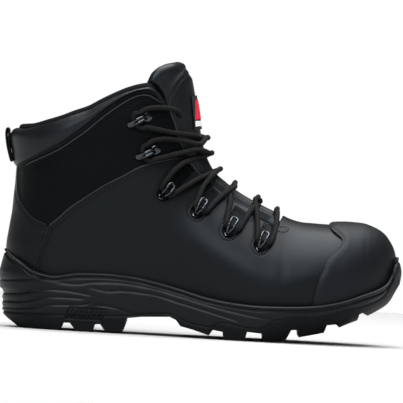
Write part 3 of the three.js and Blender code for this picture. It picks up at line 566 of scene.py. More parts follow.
counter_outline = np.vstack([
    [(-12, 0), (24.9, 0)], counter_line[:-1] + [-0.15, 0], rear_line[::-1][1:] + [-0.15, -0.15],
    [(0, 121.6), (-12, 121.6)]])


def counter_face(x, z, side):
    return dent(near_line(x, z, offset_line(rear_line, -2.4), 4), 0.9, 0.25)


counter = layer("heel_counter_leather", counter_face, -LEATHER, high_c=40, rows=110)
cut(counter, prism(counter_outline), "INTERSECT")

quarter_outline = np.vstack([
    rear_line[:-2] + [0.15, 0.15], vamp_line[1:-2] + [-0.1, 0.15], [(138.4, 139)], eyestay_high[::-1][1:],
    seam_top[::-1]])
quarter = layer("quarter_leather_lateral", quarter_face, -LEATHER, high_c=140, rows=120)
other = copy_of(quarter, "quarter_leather_medial")
cut(quarter, prism(quarter_outline, -REACH_Y, -1), "INTERSECT")
cut(other, prism(quarter_outline, -1, REACH_Y), "INTERSECT")

backing_outline = np.vstack([
    [(84, 172), (84, 150), (92, 125), (112, 96), (140, 80), (168, 66), (195, 58), (214, 60), (219, 80)],
    moved(sampled(eyestay_z, 122, 214, 60)[::-1], 0.3, -0.6), [(118, 173.5), (108, 180), (100, 181.5)]])
backing = layer("eyestay_backing", -2.1, -4.1, lift=3.7, low_c=70, high_c=225)
backing_2 = copy_of(backing, "eyestay_backing_other")
cut(backing, prism(backing_outline, -REACH_Y, -2), "INTERSECT")
cut(backing_2, prism(backing_outline, -2, REACH_Y), "INTERSECT")


# ---- the scuff cap over the toe ----
CAP_EDGE = curve([(239.6, 20), (240.8, 32.7), (241.7, 39), (243.3, 46), (245, 51), (247.5, 57), (249, 62),
                  (251.7, 66.8), (255.8, 71.4), (260, 76.8), (261.3, 80), (260.4, 82.7), (256.7, 85.6),
                  (253.6, 88), (251.6, 91), (252.2, 95)], 0.6)


def cap_face(x, z, side):
    edge = near_line(x, z, CAP_EDGE, 8)
    return 0.5 + 1.6 * np.sqrt(np.clip(edge / 2.4, 0, 1)) + 0.15 * np.exp(-((edge - 5) / 2) ** 2)


cap = layer("toe_scuff_cap_leather", cap_face, 0.12, lift=4, low_c=230, rows=110)
cut(cap, prism(np.vstack([CAP_EDGE, [(256, 120), (330, 120), (330, 20)]])), "INTERSECT")


# ---- collar and lining ----
def collar_grids():
    c = COLUMNS[COLUMNS <= 114.5]
    x = c + 5
    low, high = collar_seam_z(x) + 0.3, collar_top_z(x) - 3.7
    high = high - 0.5 * np.exp(-((x - 11) / 4.5) ** 2) + 0.8 * np.exp(-((x - 5.5) / 2) ** 2)
    high = np.maximum(low + 1.2, high)
    f = np.linspace(0, 1, 40)
    z = mix(low[:, None], high[:, None], f[None, :])
    puff = mix(3.7, 4.8, ease(6, 30, x)) * (1 - 0.75 * ease(92, 118, x))
    full = np.sin(np.pi * np.clip(0.03 + 0.94 * f**0.85, 0, 1)) ** 0.75
    out = puff[:, None] * full[None, :] - 0.5 * np.exp(-(f[None, :] / 0.05) ** 2)
    # At the back the pad stands upright, so it swells more toward its top.
    upright = ease(0.3, 0.85, f) * np.sqrt(1 - np.clip((f - 0.82) / 0.18, 0, 1) ** 2)
    out += 3.3 * (1 - ease(8, 28, x))[:, None] * upright[None, :]
    inn = mix(-4.2, -0.9, np.clip((f - 0.86) / 0.14, 0, 1) ** 2)
    return both_sides(column_x(c[:, None], z), z, out, inn)


collar = shell("collar_padding", collar_grids())


def lining_grids():
    c = COLUMNS[::2]
    c = np.unique(np.append(c, [0, LAST_COLUMN]))
    x = c + 5
    low = board_z(x) + 3.8
    rolled = 1 - ease(108, 121, x)
    free = np.where(x < 121, collar_top_z(x) - 3.9, eyestay_z(x) - 1)
    closing = LINING_OPENS - 9
    high = np.where(x < closing, free, mix(free, ridge_z(x), ease(closing, LINING_OPENS, x)))
    f = np.linspace(0, 1, 46)
    z = rows_between(x, low, high, f)
    on_ridge = (x[:, None] >= LINING_OPENS) & (f[None, :] == 1)
    roll = np.linspace(0, 1, 10)[1:]
    z = np.hstack([z, high[:, None] + 3.9 * (rolled[:, None] * np.sin(roll * math.pi / 2)[None, :])])
    on_ridge = np.hstack([on_ridge, np.repeat(x[:, None] >= LINING_OPENS, len(roll), 1)])
    out = np.full(z.shape, LINING[0])
    inn = np.full(z.shape, LINING[1])
    lip = mix(-0.9, -3.2, (1 - np.cos(roll * math.pi / 2)))
    out[:, len(f):] = mix(LINING[0], lip[None, :], rolled[:, None])
    inn[:, len(f):] = mix(LINING[1], mix(LINING[1], -3.6, roll**3)[None, :], rolled[:, None])
    return both_sides(column_x(c[:, None], z), z, out, inn, on_ridge=on_ridge)


lining = shell("lining_mesh", lining_grids())


# ---- the tongue, along the instep line ----
INSTEP_STEPS = catmull(INSTEP)
INSTEP_TURN = np.gradient(INSTEP_STEPS, axis=0)
INSTEP_TURN /= np.linalg.norm(INSTEP_TURN, axis=1, keepdims=True)


def instep_at(u):
    """The point of the instep line at u, from 0 to 1, and its direction."""
    i = np.asarray(u, float) * (len(INSTEP_STEPS) - 1)
    at = np.arange(len(INSTEP_STEPS))
    p = np.stack([np.interp(i, at, INSTEP_STEPS[:, k]) for k in (0, 1)], -1)
    d = np.stack([np.interp(i, at, INSTEP_TURN[:, k]) for k in (0, 1)], -1)
    return p, d / np.linalg.norm(d, axis=-1, keepdims=True)


TONGUE_SHARE = 12 / 13
tongue_top = through([(0, 10.4), (2.5, 11.2), (5, 11.5), (9, 11.4), (15, 11.2), (22, 9.8), (28, 6.6),
                      (33, 1.6), (38, -5)])


def opening_reach(t, tucked=0.0):
    """How far down the opening reaches at t along the tongue, and `tucked` further under its rim."""
    p, d = instep_at(t * TONGUE_SHARE)
    for v in np.arange(1, 40, 0.1):
        x, z = p[0] - d[1] * v, p[1] + d[0] * v
        if x > 122.5:
            edge = eyestay_z(x - 1.5) + 1.8 - tucked * (1 - ease(123, 130, x))
        else:
            edge = collar_top_z(x) + 4 - tucked
        if z < edge:
            return v
    return 40


def tongue_depth(x, z, v, t, f):
    """How far under the skin's surface the tongue's face lies."""
    raised = ease(0.2, 0.36, t)
    centre, edge = mix(0.4, 7.5, ease(208.5, 214.5, x)), mix(7.5, 3, raised)
    rolled_back = 3.2 * ease(198, 209, z) * (1 - ease(4, 14, v))
    rim = np.where(x > 121, eyestay_z(x), collar_top_z(x))
    tucked_in = 4.2 * (1 - ease(-2, 3, z - rim)) * ease(0.8, 0.86, t)
    return mix(centre, edge, ease(0.45, 1, f)) + rolled_back + tucked_in


# The seam between the tongue's smooth side pad and its woven front.
TONGUE_SEAM = curve([(139.5, 208), (136.7, 203.5), (131.7, 198.5), (128.3, 193.5), (126.1, 188.5),
                     (125, 182.7), (124.6, 170), (127, 158)])


def tongue_relief(x, z, v, t):
    """Where the tongue's face swells between its seams, and its ribs between the lace's crossings."""
    side_pad = ease(0, 9, -1.0 * (x - np.interp(z, TONGUE_SEAM[::-1, 1], TONGUE_SEAM[::-1, 0])))
    pad = 2.2 * side_pad * ease(172, 190, z)
    seam_at = near_line(x, z, TONGUE_SEAM, 6)
    seam = (dent(seam_at, 2.4, 1.0) + 1.4 * np.exp(-(seam_at / 1.15) ** 2)) * ease(150, 160, z)
    ribbed = ease(0.14, 0.24, t) * (1 - ease(0.5, 0.58, t)) * (1 - ease(11, 14, v))
    ribs = 0.55 * np.cos(v * 2 * math.pi / 3.4) * ribbed
    channelled = ease(12, 16, v) * (1 - ease(150, 160, z))
    channels = -0.5 * np.exp(-((np.mod(z + 4, 12) - 6) / 0.8) ** 2) * channelled
    return pad + seam + ribs + channels


def tongue_grids():
    t = np.linspace(0, 1, 190)
    f = np.concatenate([np.linspace(0, 0.9, 46), np.linspace(0.9, 1, 12)[1:]])
    reach_at = np.array([opening_reach(max(0.2, s), 9) for s in t])
    reach = np.where(t < 0.2, mix(16, reach_at, t / 0.2), reach_at)
    # A smooth edge: the opening's own corner, at the eyestay's top, is rounded off.
    reach = np.convolve(np.pad(reach, 4, "edge"), np.ones(9) / 9, "valid")
    # The top corners are rounded: a square patch of the pad is drawn in to a quarter disc.
    low, tall, near, wide = 0.93, 0.07, 0.72, 0.28
    a = np.clip((t[:, None] - low) / tall, 0, 1) + 0 * f[None, :]
    b = np.clip((f[None, :] - near) / wide, 0, 1) + 0 * t[:, None]
    top = np.where(a > 0, low + tall * a * np.sqrt(1 - b * b / 2), t[:, None])
    across = np.where(b > 0, near + wide * b * np.sqrt(1 - a * a / 2), f[None, :])
    p, d = instep_at(top * TONGUE_SHARE)
    v = across * np.interp(top, t, reach)
    stretch = tongue_top(v) * ease(0.72, 1, top)
    x = p[..., 0] - d[..., 1] * v + d[..., 0] * stretch
    z = p[..., 1] + d[..., 0] * v + d[..., 1] * stretch
    tt, ff = np.broadcast_to(t[:, None], v.shape), np.broadcast_to(f[None, :], v.shape)
    depth = tongue_depth(x, z, v, tt, ff)
    thick = mix(3, 8, ease(0.2, 0.45, tt)) * (1 - 0.25 * ease(0.93, 1, tt)) * (1 - 0.6 * ff**2)
    # Round edges: near its rim the pad thins like the end of an ellipse.
    rim = np.minimum((1 - tt) * 135, (1 - ff) * reach[:, None])
    full = np.sqrt(np.clip(1 - (1 - np.clip(rim / 4.2, 0, 1)) ** 2, 0.01, 1))
    mid = depth + thick / 2
    relief = tongue_relief(x, z, v, tt)
    return both_sides(x, z, -mid + thick / 2 * full + relief * full, -mid - thick / 2 * full, OUTER, ff == 0)


tongue = shell("tongue_pad", tongue_grids())


# ---- the tongue's label: a stitched patch with a red and a white stripe, and no lettering ----
def label_patch(name, u0, u1, wide_low, wide_high, low, high):
    """A patch on the tongue from u0 to u1 along it; its half width runs from wide_low to wide_high."""
    p, d = instep_at(np.linspace(u0, u1, 24))
    vv = np.linspace(wide_low, wide_high, 24)[:, None] * np.linspace(0, 1, 12)[None, :]
    x = p[:, :1] - d[:, 1:] * vv
    z = p[:, 1:] + d[:, :1] * vv
    return shell(name, both_sides(x, z, high, low, OUTER, vv == 0))


label = label_patch("label_base", 0.722, 0.842, 5.2, 3.6, 0.3, 0.85)
label_red = label_patch("label_red_stripe", 0.755, 0.826, 4.3, 1.6, 0.9, 1.25)
label_white = label_patch("label_white_stripe", 0.732, 0.750, 4.6, 4.2, 0.9, 1.25)


# ---- the sole ----
sole_heel_x = through([(0, 14), (2.7, 10.5), (6.8, 5), (11, 1.4), (28, 1.1), (29.5, -1.2), (41, -2.5),
                       (46, -1.6), (52, -0.3), (58, 1.0), (61, 1.5), (75, 1.8)])
sole_toe_x = through([(0, 240), (12, 262), (23, 285), (29, 295), (32.7, 300), (39.3, 305), (43.5, 307),
                      (49.3, 308.8), (57.7, 309.6), (63.5, 308.5), (68, 306.7), (72, 304.8)])
TREAD = [(-6, 0), (47.5, 0), (49.6, 5.6), (55.4, 5.75), (60.4, 0), (72.5, 0), (73.8, 5.6), (78.8, 6),
         (83, 0.6), (96.3, 1.5), (98.3, 7.7), (98.8, 11.8), (110, 13.4), (131.7, 14.8), (136.7, 12.7),
         (140.4, 8.1), (150, 6), (162.5, 2.3), (165.4, 6.8), (173.3, 5.6), (173.8, 0), (190, 0),
         (191.7, 6.8), (203.8, 6), (204.2, 0), (213, 0), (222, 2.3), (225.4, 9.8), (230.8, 10.3),
         (231.7, 4.3), (251.3, 8.5), (252.9, 14.8), (260, 15.6), (265, 11.4), (276.7, 17.3),
         (277.5, 24.3), (280, 25.6), (285, 23), (295, 29), (300, 32), (312, 40)]
SOLE_SPLIT = curve([(-20, 11.5), (50, 11.3), (83, 12.4), (98.8, 13.6), (110, 15.4), (125, 17),
                    (135, 16.4), (142, 13), (148, 10.6), (155, 9.8), (163, 8.9), (169, 12.3),
                    (180, 11.8), (191.7, 9.8), (200, 9.8), (205, 11), (210, 15.6), (216.7, 17.7),
                    (225, 19.5), (240, 20.2), (250, 21.8), (260, 25.2), (270, 28.5), (280, 31.4),
                    (290, 35.6), (296, 40), (299.5, 46.5), (301.2, 52), (302, 58), (302.2, 80)], 1.0)
# Flow lines pressed into the sole's side. Those that start at the heel run on round it.
FLOW_LINES = [
    [(-6, 35.6), (10, 36.8), (20, 37.7), (40, 40.3)],
    [(40, 37.3), (50, 36.2), (60, 36), (70, 37.7), (85, 38.7), (100, 38.2), (120, 35.5), (140, 31),
     (160, 26), (180, 21.8), (200, 18.5), (216, 17)],
    [(-6, 25.4), (15, 26.8), (25, 28.9), (35, 30.2), (50, 30.6), (65, 28.9), (75, 27.3)],
    [(65, 34.8), (75, 33), (82.5, 31.8), (95, 32.7), (120, 30.8), (140, 26), (160, 21), (180, 16),
     (190, 13.5)],
    [(-6, 19.5), (20, 21), (30, 23.5), (40, 24.8), (55, 25.2), (70, 24.8)],
    [(-6, 15), (10, 14.6), (25, 16), (35, 18), (45, 19.2), (60, 19.8), (70, 21.8), (75.8, 26.4)],
    [(-6, 11), (10, 11), (40, 10.6), (49, 11.2)],
    [(70, 20.2), (82.5, 20.2), (90, 19.3), (100, 16.4), (110, 14.6)],
]
FLOW_LINES = [curve(line, 0.7) for line in FLOW_LINES]
# A recess with slanting ribs low on the heel: its ends at its foot, its foot and top, and its ribs.
PANEL_X, PANEL_Z = (50.5, 80), (8.2, 18.3)
PANEL_LEAN, RIB_PITCH = 0.36, 3.7


def sole_half(x, z, side):
    flare = 4.6 if side == OUTER else 4.2
    waist = 1.5 * (1 - ease(0, 20, np.abs(x - 110)))
    tuck = np.where(z < 30, -2.2 * ((30 - z) / 30) ** 2 * (1 - ease(100, 140, np.abs(x - 110))), 0)
    grow = 1.6 * np.sin(math.pi * np.clip((z - 5) / 60, 0, 1))
    return foot_half[side](x) + flare + grow + tuck - waist


def sole_wall(u, rise, side):
    """Points on the sole's wall: u runs from heel to toe, rise from the ground to the lip."""
    z = 30.0 * rise
    for _ in range(12):
        x0, x1 = sole_heel_x(z), sole_toe_x(np.maximum(z, 1))
        x = mix(x0, x1, u)
        z = mix(-2.0, lip_z(x), rise) * 0.6 + z * 0.4
    heel = 1 - (1 - np.clip((x - x0) / 44, 0, 1)) ** 2
    toe = 1 - np.clip((x - (x1 - 84)) / 84, 0, 1) ** 2.6
    y = centre_y(x) + side * sole_half(x, z, side) * np.sqrt(np.maximum(0, heel * toe))
    return x, y, z


def sole_relief(x, z):
    o = np.zeros(x.shape)
    for line in FLOW_LINES:
        ends = np.minimum(np.abs(x - line[0, 0]), np.abs(x - line[-1, 0]))
        fade = np.where(line[0, 0] < 0, ease(0, 10, np.abs(x - line[-1, 0])), ease(0, 10, ends))
        d = near_line(x, z, line, 4)
        above = np.interp(x, line[:, 0], line[:, 1]) < z
        # A ledge: it rises gently above the line and drops sharply at it.
        o += fade * (dent(d, 1.2, 0.95) + np.where(above, 0.5 * np.exp(-d / 2.0), 0))
    o += dent(near_line(x, z, SOLE_SPLIT, 4), 0.8, 0.9)
    start, end = PANEL_X
    lo, hi = PANEL_Z
    slant = x - (z - lo) * PANEL_LEAN
    inside = (np.clip((slant - start) / 0.8, 0, 1) * np.clip((end - slant) / 0.8, 0, 1)
              * np.clip((z - lo) / 0.8, 0, 1) * np.clip((hi - z) / 0.8, 0, 1))
    ribs = np.clip(1.6 * np.cos(2 * math.pi * (slant - start) / RIB_PITCH + math.pi), -1, 1) * 0.5 + 0.5
    border = np.clip((z - lo - 1.4) / 0.6, 0, 1) * np.clip((hi - 1.4 - z) / 0.6, 0, 1)
    o += inside * (-1.3 + 1.15 * ribs * border)
    return o


def ring_block(name, loop, n, across):
    """A closed block from rows of points round it, filled in at its foot and top between its two sides.
    `across` turns a row's numbers into those that face its first n."""
    count, m = loop.shape[:2]
    ids = np.arange(count * m).reshape(count, m)
    faces = grid_faces(np.vstack([ids, ids[:1]]), False).tolist()
    for row, flip in ((0, True), (m - 1, False)):
        a, b = ids[:n, row], across(ids[:, row])
        for i in range(n - 1):
            f = [a[i], a[i + 1], b[i + 1], b[i]]
            f = [int(v) for k, v in enumerate(f) if v != f[k - 1]]
            if len(set(f)) > 2:
                faces.append(f[::-1] if flip else f)
    return make(name, loop.reshape(-1, 3), faces)


def sole_block():
    u = np.concatenate([0.06 * (np.arange(26) / 26) ** 2, np.linspace(0.06, 0.86, 370)[:-1],
                        1 - 0.14 * (1 - np.arange(91) / 90) ** 2])
    rise = np.linspace(0, 1, 112)
    walls = []
    for side in (OUTER, INNER):
        x, y, z = sole_wall(u[:, None], rise[None, :], side)
        p = np.stack([x, y, z], -1)
        along = np.gradient(p, axis=0)
        n = np.stack([along[..., 1], -along[..., 0]], -1) * (-side)
        n = n / np.maximum(1e-9, np.linalg.norm(n, axis=-1, keepdims=True))
        n[0], n[-1] = (-1, 0), (1, 0)
        under_lip = lip_z(x) - z
        shoulder = -1.7 * (1 - np.sqrt(np.clip(1 - (1 - np.clip(under_lip / 1.7, 0, 1)) ** 2, 0, 1)))
        bead = 0.8 * np.exp(-((under_lip - 1.3) / 0.9) ** 2) - 1.1 * np.exp(-((under_lip - 3.8) / 0.9) ** 2)
        relief = sole_relief(x, z) + shoulder + bead
        p[..., :2] += n * relief[..., None]
        walls.append(p)
    outer, inner = walls
    n = len(u)
    return ring_block("outsole_rubber", np.concatenate([outer, inner[::-1][1:-1]]), n,
                      lambda row: np.concatenate([row[:1], row[:n - 1:-1], row[n - 1:n]]))


def facing_out(obj):
    """Turns a closed mesh's faces outward if its volume comes out negative."""
    mesh = obj.data
    mesh.calc_loop_triangles()
    corners = np.empty(len(mesh.loop_triangles) * 3, np.int32)
    mesh.loop_triangles.foreach_get("vertices", corners)
    places = np.empty(len(mesh.vertices) * 3)
    mesh.vertices.foreach_get("co", places)
    p = places.reshape(-1, 3)[corners.reshape(-1, 3)]
    if np.einsum("ij,ij->i", p[:, 0], np.cross(p[:, 1], p[:, 2])).sum() < 0:
        mesh.flip_normals()
    return obj


def upper_room():
    """The space the upper fills, a little larger, from just under the board."""
    c = COLUMNS[::2]
    c = np.unique(np.append(c, [0, LAST_COLUMN]))
    rise = np.concatenate([np.linspace(-0.4, 12, 22), np.linspace(13, 62, 44)])
    z = board_z(c + 5)[:, None] + rise[None, :]
    x = column_x(c[:, None], z)
    outer = off_skin(x, z, OUTER, np.full(z.shape, GAP + 0.1))
    inner = off_skin(x, z, INNER, np.full(z.shape, GAP + 0.1))
    n = len(c)
    return facing_out(ring_block("tool", np.concatenate([outer, inner[::-1]]), n, lambda row: row[n:][::-1]))


def box_tool(x0, x1, y, width, top):
    return prism([(x0, -20), (x1, -20), (x1, top), (x0, top)], y - width / 2, y + width / 2)


sole = facing_out(sole_block())
cut(sole, upper_room(), "DIFFERENCE")
cut(sole, prism(TREAD + [(330, 40), (330, -20), (-20, -20), (-20, 0)]), "DIFFERENCE")
midsole = copy_of(sole, "midsole_foam")
below = np.vstack([SOLE_SPLIT, [(330, 80), (330, -10), (-20, -10)]])
cut(sole, prism(below + [0.0, -0.02]), "INTERSECT")
above = np.vstack([SOLE_SPLIT[:-1], [(302, 99), (-20, 99)]])
cut(midsole, prism(above + [0.0, 0.02]), "INTERSECT")
# Grooves along the middle of the tread.
for x0, x1, y, width, top in ((12, 99, -0.5, 9, 5.2), (136, 228, -1, 8, 4.6), (228, 254, 1, 8, 9),
                              (254, 300, 4, 8, 16)):
    cut(sole, box_tool(x0, x1, y, width, top), "DIFFERENCE")


# ---- beads, piping and stitches that follow the upper ----
def on_both_sides(name, lines, height, radius):
    parts = []
    for line in lines:
        for side in (OUTER, INNER):
            p, n = skin(line[:, 0], line[:, 1], side)
            parts.append(tube(p + n * height, n, radius, 8))
    return merged(name, parts)


def taper(count, radius):
    """A bead's radius: it runs out to a point at both ends."""
    t = np.linspace(0, 1, count)
    return radius * np.sqrt(np.clip(np.minimum(t, 1 - t) / 0.04, 0.05, 1))


STITCH_DEPTH = -0.05  # of a stitch's underside


def stitches(name, lines, pitch=2.6, length=1.75, radius=0.36):
    """Thread showing between its holes along lines in the side view, as short arched bars."""
    points, faces, start = [], [], 0
    angle = np.arange(6) * math.pi / 3
    share = np.array([-0.5, -0.38, 0, 0.38, 0.5])
    swell = np.array([0.45, 0.9, 1, 0.9, 0.45])
    sink = np.array([-0.55, -0.1, 0.05, -0.1, -0.55])
    for line in lines:
        line = spaced(line, 0.25)
        run = np.concatenate([[0], np.cumsum(np.linalg.norm(np.diff(line, axis=0), axis=1))])
        count = int((run[-1] - length) / pitch)
        if count < 1:
            continue
        at = np.linspace(length / 2, run[-1] - length / 2, count + 1)
        where = at[:, None] + share[None, :] * length
        x = np.interp(where, run, line[:, 0])
        z = np.interp(where, run, line[:, 1])
        on_face = half_squared(x[:, 2], z[:, 2], OUTER) > 60
        x, z = x[on_face], z[on_face]
        count = len(x)
        for side in (OUTER, INNER):
            p, n = skin(x, z, side)
            t = p[:, 4:] - p[:, :1]
            t = t / np.linalg.norm(t, axis=-1, keepdims=True)
            b = np.cross(t, n)
            centre = p + n * (STITCH_DEPTH + radius + sink[None, :, None] * radius * 1.6)
            ring = (np.cos(angle)[None, None, :, None] * n[:, :, None]
                    + np.sin(angle)[None, None, :, None] * b[:, :, None])
            ring = centre[:, :, None] + ring * (radius * swell)[None, :, None, None]
            points.append(ring.reshape(-1, 3))
            for _ in range(count):
                faces += ring_faces(len(share), len(angle), start)
                start += len(share) * len(angle)
    return make(name, np.vstack(points), faces)


collar_line = curve([(6.4, 124.2)] + [tuple(q) for q in seam_top[2:]] + [(119.6, 172)], 0.8)
collar_piping = on_both_sides("collar_piping", [collar_line], 0.1, taper(len(collar_line), 1.15))
rear_piping = on_both_sides("rear_piping", [rear_line], -0.25, taper(len(rear_line), 0.85))
top_edge = np.vstack([offset_line(seam_top, -2.7)[4:-4],
                      sampled(lambda x: eyestay_z(x) - 1.3, 120.6, 136, 40)])
top_edge = curve(top_edge[::6], 0.8)
quarter_edge = on_both_sides("quarter_edge", [top_edge], 0.05, taper(len(top_edge), 0.62))
parts_above = [vamp_line[2:-10]] + [eyestay_low[a:b] for a, b in ((2, 24), (32, 52), (58, 76), (84, 100))]
vamp_rim = on_both_sides("vamp_rim", [offset_line(line, -0.5) for line in parts_above], -0.35, 0.62)

thread_lines = [offset_line(vamp_line, -2.2)[3:-8], offset_line(vamp_line, -4.4)[5:-10],
                offset_line(counter_line, -2.0)[4:], offset_line(counter_line, -4.2)[4:],
                offset_line(rear_line, -2.4)[6:-3], offset_line(seam_top, -4.6)[6:-6],
                offset_line(seam_top, -7.0)[8:-8]]
thread = stitches("upper_stitching", thread_lines)
loop_lines = [notch_stitches(foot, top, 11) for foot, top in LOOPS]
eyestay_lines = []
for a, b in ((133, 146), (153, 168), (178, 193)):
    for d in (2.4, 4.6):
        eyestay_lines.append(offset_line(sampled(eyestay_z, a, b, 40), -d))
loop_thread = stitches("eyestay_stitching", loop_lines + eyestay_lines, pitch=2.3, length=1.5, radius=0.34)
THROAT_TIP = curve([(212.5, 88.2), (216, 88.6), (219.6, 87), (216.4, 84.6), (211.6, 84.9)], 0.5)
tip_thread = stitches("throat_stitching", [THROAT_TIP], pitch=2.0, length=1.3, radius=0.32)


# ---- the lacing hardware ----
def place_on(side, start, end):
    """A place on the boot: its first axis runs from start to end along the skin, its third points outward."""
    p = off_skin(start[0], start[1], side, 0.0)
    a = off_skin(end[0], end[1], side, 0.0) - p
    a /= np.linalg.norm(a)
    _, mid = skin((start[0] + end[0]) / 2, (start[1] + end[1]) / 2, side)
    b = np.cross(mid, a)
    b /= np.linalg.norm(b)
    n = np.cross(a, b)
    return lambda q: p + np.asarray(q, float) @ np.stack([a, b, n])


def lathe(place, profile, centre, sides=28):
    """A turned piece: profile holds (height, radius) from the bottom middle to the top middle."""
    angle = np.arange(sides) * 2 * math.pi / sides
    profile = np.array(profile, float)
    rings = np.stack([centre + profile[:, 1:] * np.cos(angle), profile[:, 1:] * np.sin(angle),
                      np.repeat(profile[:, :1], sides, 1)], -1)
    return place(rings.reshape(-1, 3)), ring_faces(len(profile), sides)


LOOP_WIRE = [(0.7, 0, -0.8), (1.7, 1.0, 2.2), (4, 1.85, 5.9), (8.5, 2.3, 7), (11.6, 2.35, 6.2),
             (13.3, 1.5, 5.5), (13.6, 0, 5.3)]
LOOP_WIRE += [(a, -b, n) for a, b, n in LOOP_WIRE[-2:0:-1]]


def outward(place, line):
    return place(line * 0 + [0, 0, 1]) - place(line * 0)


def lace_loop(side, foot, top, name):
    place = place_on(side, foot, top)
    wire = place(curve(LOOP_WIRE, 0.35, closed=True)[:-1])
    up = np.repeat(place([(0, 0, 1)]) - place([(0, 0, 0)]), len(wire), 0)
    seat = lathe(place, [(-1.7, 1.6), (-1.6, 2.0), (-0.75, 2.0), (-0.6, 1.7)], 0.9)
    return merged(name, [tube(wire, up, 1.02, 12, closed=True), seat])


# Each speed hook's foot and tip, seen from the side.
HOOKS = [((113, 141.5), (98.5, 134.8)), ((105, 166.5), (90.5, 158.6))]


def speed_hook(side, foot, tip, name):
    place = place_on(side, foot, tip)
    parts = []
    for b in (1.25, -1.25):
        ridge = curve([(0.4, b, 1), (2.2, b, 4.5), (6, b * 1.05, 6.9), (11, b, 6.2), (15.6, b * 0.75, 3.4)],
                      0.35)
        radius = np.interp(np.linspace(0, 1, len(ridge)), [0, 0.1, 0.8, 1], [1.3, 1.15, 1.2, 0.7])
        parts.append(tube(place(ridge), outward(place, ridge), radius, 12))
    # The rounded plate at the hook's tip, and the riveted base.
    blade = curve([(8.6, 0, 6.5), (11, 0, 6.15), (13.6, 0, 4.9), (16.2, 0, 3.0)], 0.35)
    share = np.linspace(0, 1, len(blade))
    width = 2.75 * np.sqrt(np.clip(1 - (2 * share - 1) ** 2, 0.02, 1))
    parts.append(tube(place(blade), outward(place, blade), width, 20, squash=0.36))
    parts.append(lathe(place, [(0.4, 3.2), (0.45, 4.2), (0.9, 4.3), (1.4, 4.0), (1.75, 2.8),
                               (1.8, 1.2)], -0.6))
    return merged(name, parts)


hardware = []
for side, word in ((OUTER, "lateral"), (INNER, "medial")):
    for i, (foot, top) in enumerate(LOOPS):
        hardware.append((lace_loop(side, foot, top, f"loop_{word}_{i + 1}"), f"lace_loop_{word}_{i + 1}"))
    for i, (foot, tip) in enumerate(HOOKS):
        hardware.append((speed_hook(side, foot, tip, f"hook_{word}_{i + 1}"), f"speed_hook_{word}_{i + 1}"))


# ---- the lace ----
HIGH = 2.9  # the lace's middle over the leather
# The lace's stretches between hardware and middle, seen from the side, each from its hardware inward.
RUNS = {
    "A": [(98.5, 168.5), (104, 172.3), (112, 174), (120, 174.2), (125.5, 173)],
    "B": [(106.5, 158.6), (114, 157.4), (123, 156), (133, 155), (143, 154.6)],
    "C": [(106.3, 144.8), (110.5, 148.6), (120, 150.6), (133, 149.6), (144, 147.6)],
    "D": [(113.5, 134.8), (121, 137), (132, 140.5), (143.5, 143.2)],
    "E": [(121, 115.5), (124, 121), (128.5, 127.3), (135, 133), (144.5, 137.2)],
    "F": [(129, 108.8), (138.5, 115.5), (147, 121), (155, 125.4)],
    "G": [(147.2, 102.5), (148.8, 109), (152, 117), (156.5, 123.5)],
    "H": [(156.5, 97.8), (162, 104.4), (168.5, 110.6), (174, 113.6)],
    "I": [(171.2, 89), (171.8, 96.5), (172.6, 104.5), (172.6, 112)],
    "J": [(181.4, 84.6), (185.6, 92.5), (190.6, 100.3), (195.2, 103.4)],
    "K": [(195.2, 79.5), (194.6, 88.5), (193.2, 97.5), (190.8, 104.4)],
    "L": [(206.2, 76.2), (208.6, 84), (209.4, 92), (209.3, 97.2)],
}


def run(name, side, inward, extra=0.0):
    """A stretch of the lace on one side, inward or outward. Its end at the middle is raised by `extra`."""
    x, z = np.array(RUNS[name], float).T
    height = np.full(len(x), HIGH)
    height[-1] += extra
    p = off_skin(x, z, side, height)
    return p if inward else p[::-1]


def under_loop(side, i, to_heel):
    across = place_on(side, *LOOPS[i])([(6, side * b, 2.75) for b in (4.6, 1.6, -1.6, -4.6)])
    return across if to_heel else across[::-1]


def under_hook(side, i, top_down):
    bends = ((6.4, 6.4), (9.4, 2.6), (9.4, -2.6), (6.4, -6.4))
    across = place_on(side, *HOOKS[i])([(a, side * b, 3) for a, b in bends])
    return across if top_down else across[::-1]


def crossing(first, x, z, down, height):
    """Three points that carry the lace over the middle of the instep."""
    beside = [off_skin(x + 1.3 * down[0], z + 1.3 * down[1], s, height) for s in (first, -first)]
    return np.array([beside[0], off_skin(x, z, OUTER, height, True), beside[1]])


def half_lace(first, over):
    """The lace from its end on side `first` down to the lowest loop; `over` is the half that lies on top."""
    second, rise = -first, 1.6 if over else -2.2
    top = HIGH + rise
    return [
        [off_skin(131, 168.5, first, 0.4), off_skin(129.2, 171, first, 1.8)],
        run("A", first, False), under_hook(first, 1, True), run("B", first, True, rise),
        crossing(first, 149.2, 153, (-0.98, -0.2), top),
        run("C", second, False, rise), under_hook(second, 0, True), run("D", second, True, rise),
        crossing(second, 153, 141, (-0.88, -0.47), top),
        run("E", first, False, rise), under_loop(first, 0, False), run("F", first, True, rise),
        crossing(first, 161, ridge_z(161), (-0.7, -0.7), top),
        run("G", second, False, rise), under_loop(second, 1, False), run("H", second, True, rise),
        crossing(second, 174, ridge_z(174), (-0.5, -0.87), top),
        run("I", first, False, rise), under_loop(first, 2, False), run("J", first, True, rise),
        crossing(first, 193, ridge_z(193), (-0.42, -0.9), top),
        run("K", second, False, rise), under_loop(second, 3, False), run("L", second, True),
    ]


lowest = crossing(INNER, 209.3, ridge_z(209.3), (-0.4, -0.92), HIGH)
back_up = [np.asarray(part)[::-1] for part in half_lace(INNER, True)[::-1]]
lace_line = uniform_catmull(np.vstack(half_lace(OUTER, False) + [lowest] + back_up), 0.7)


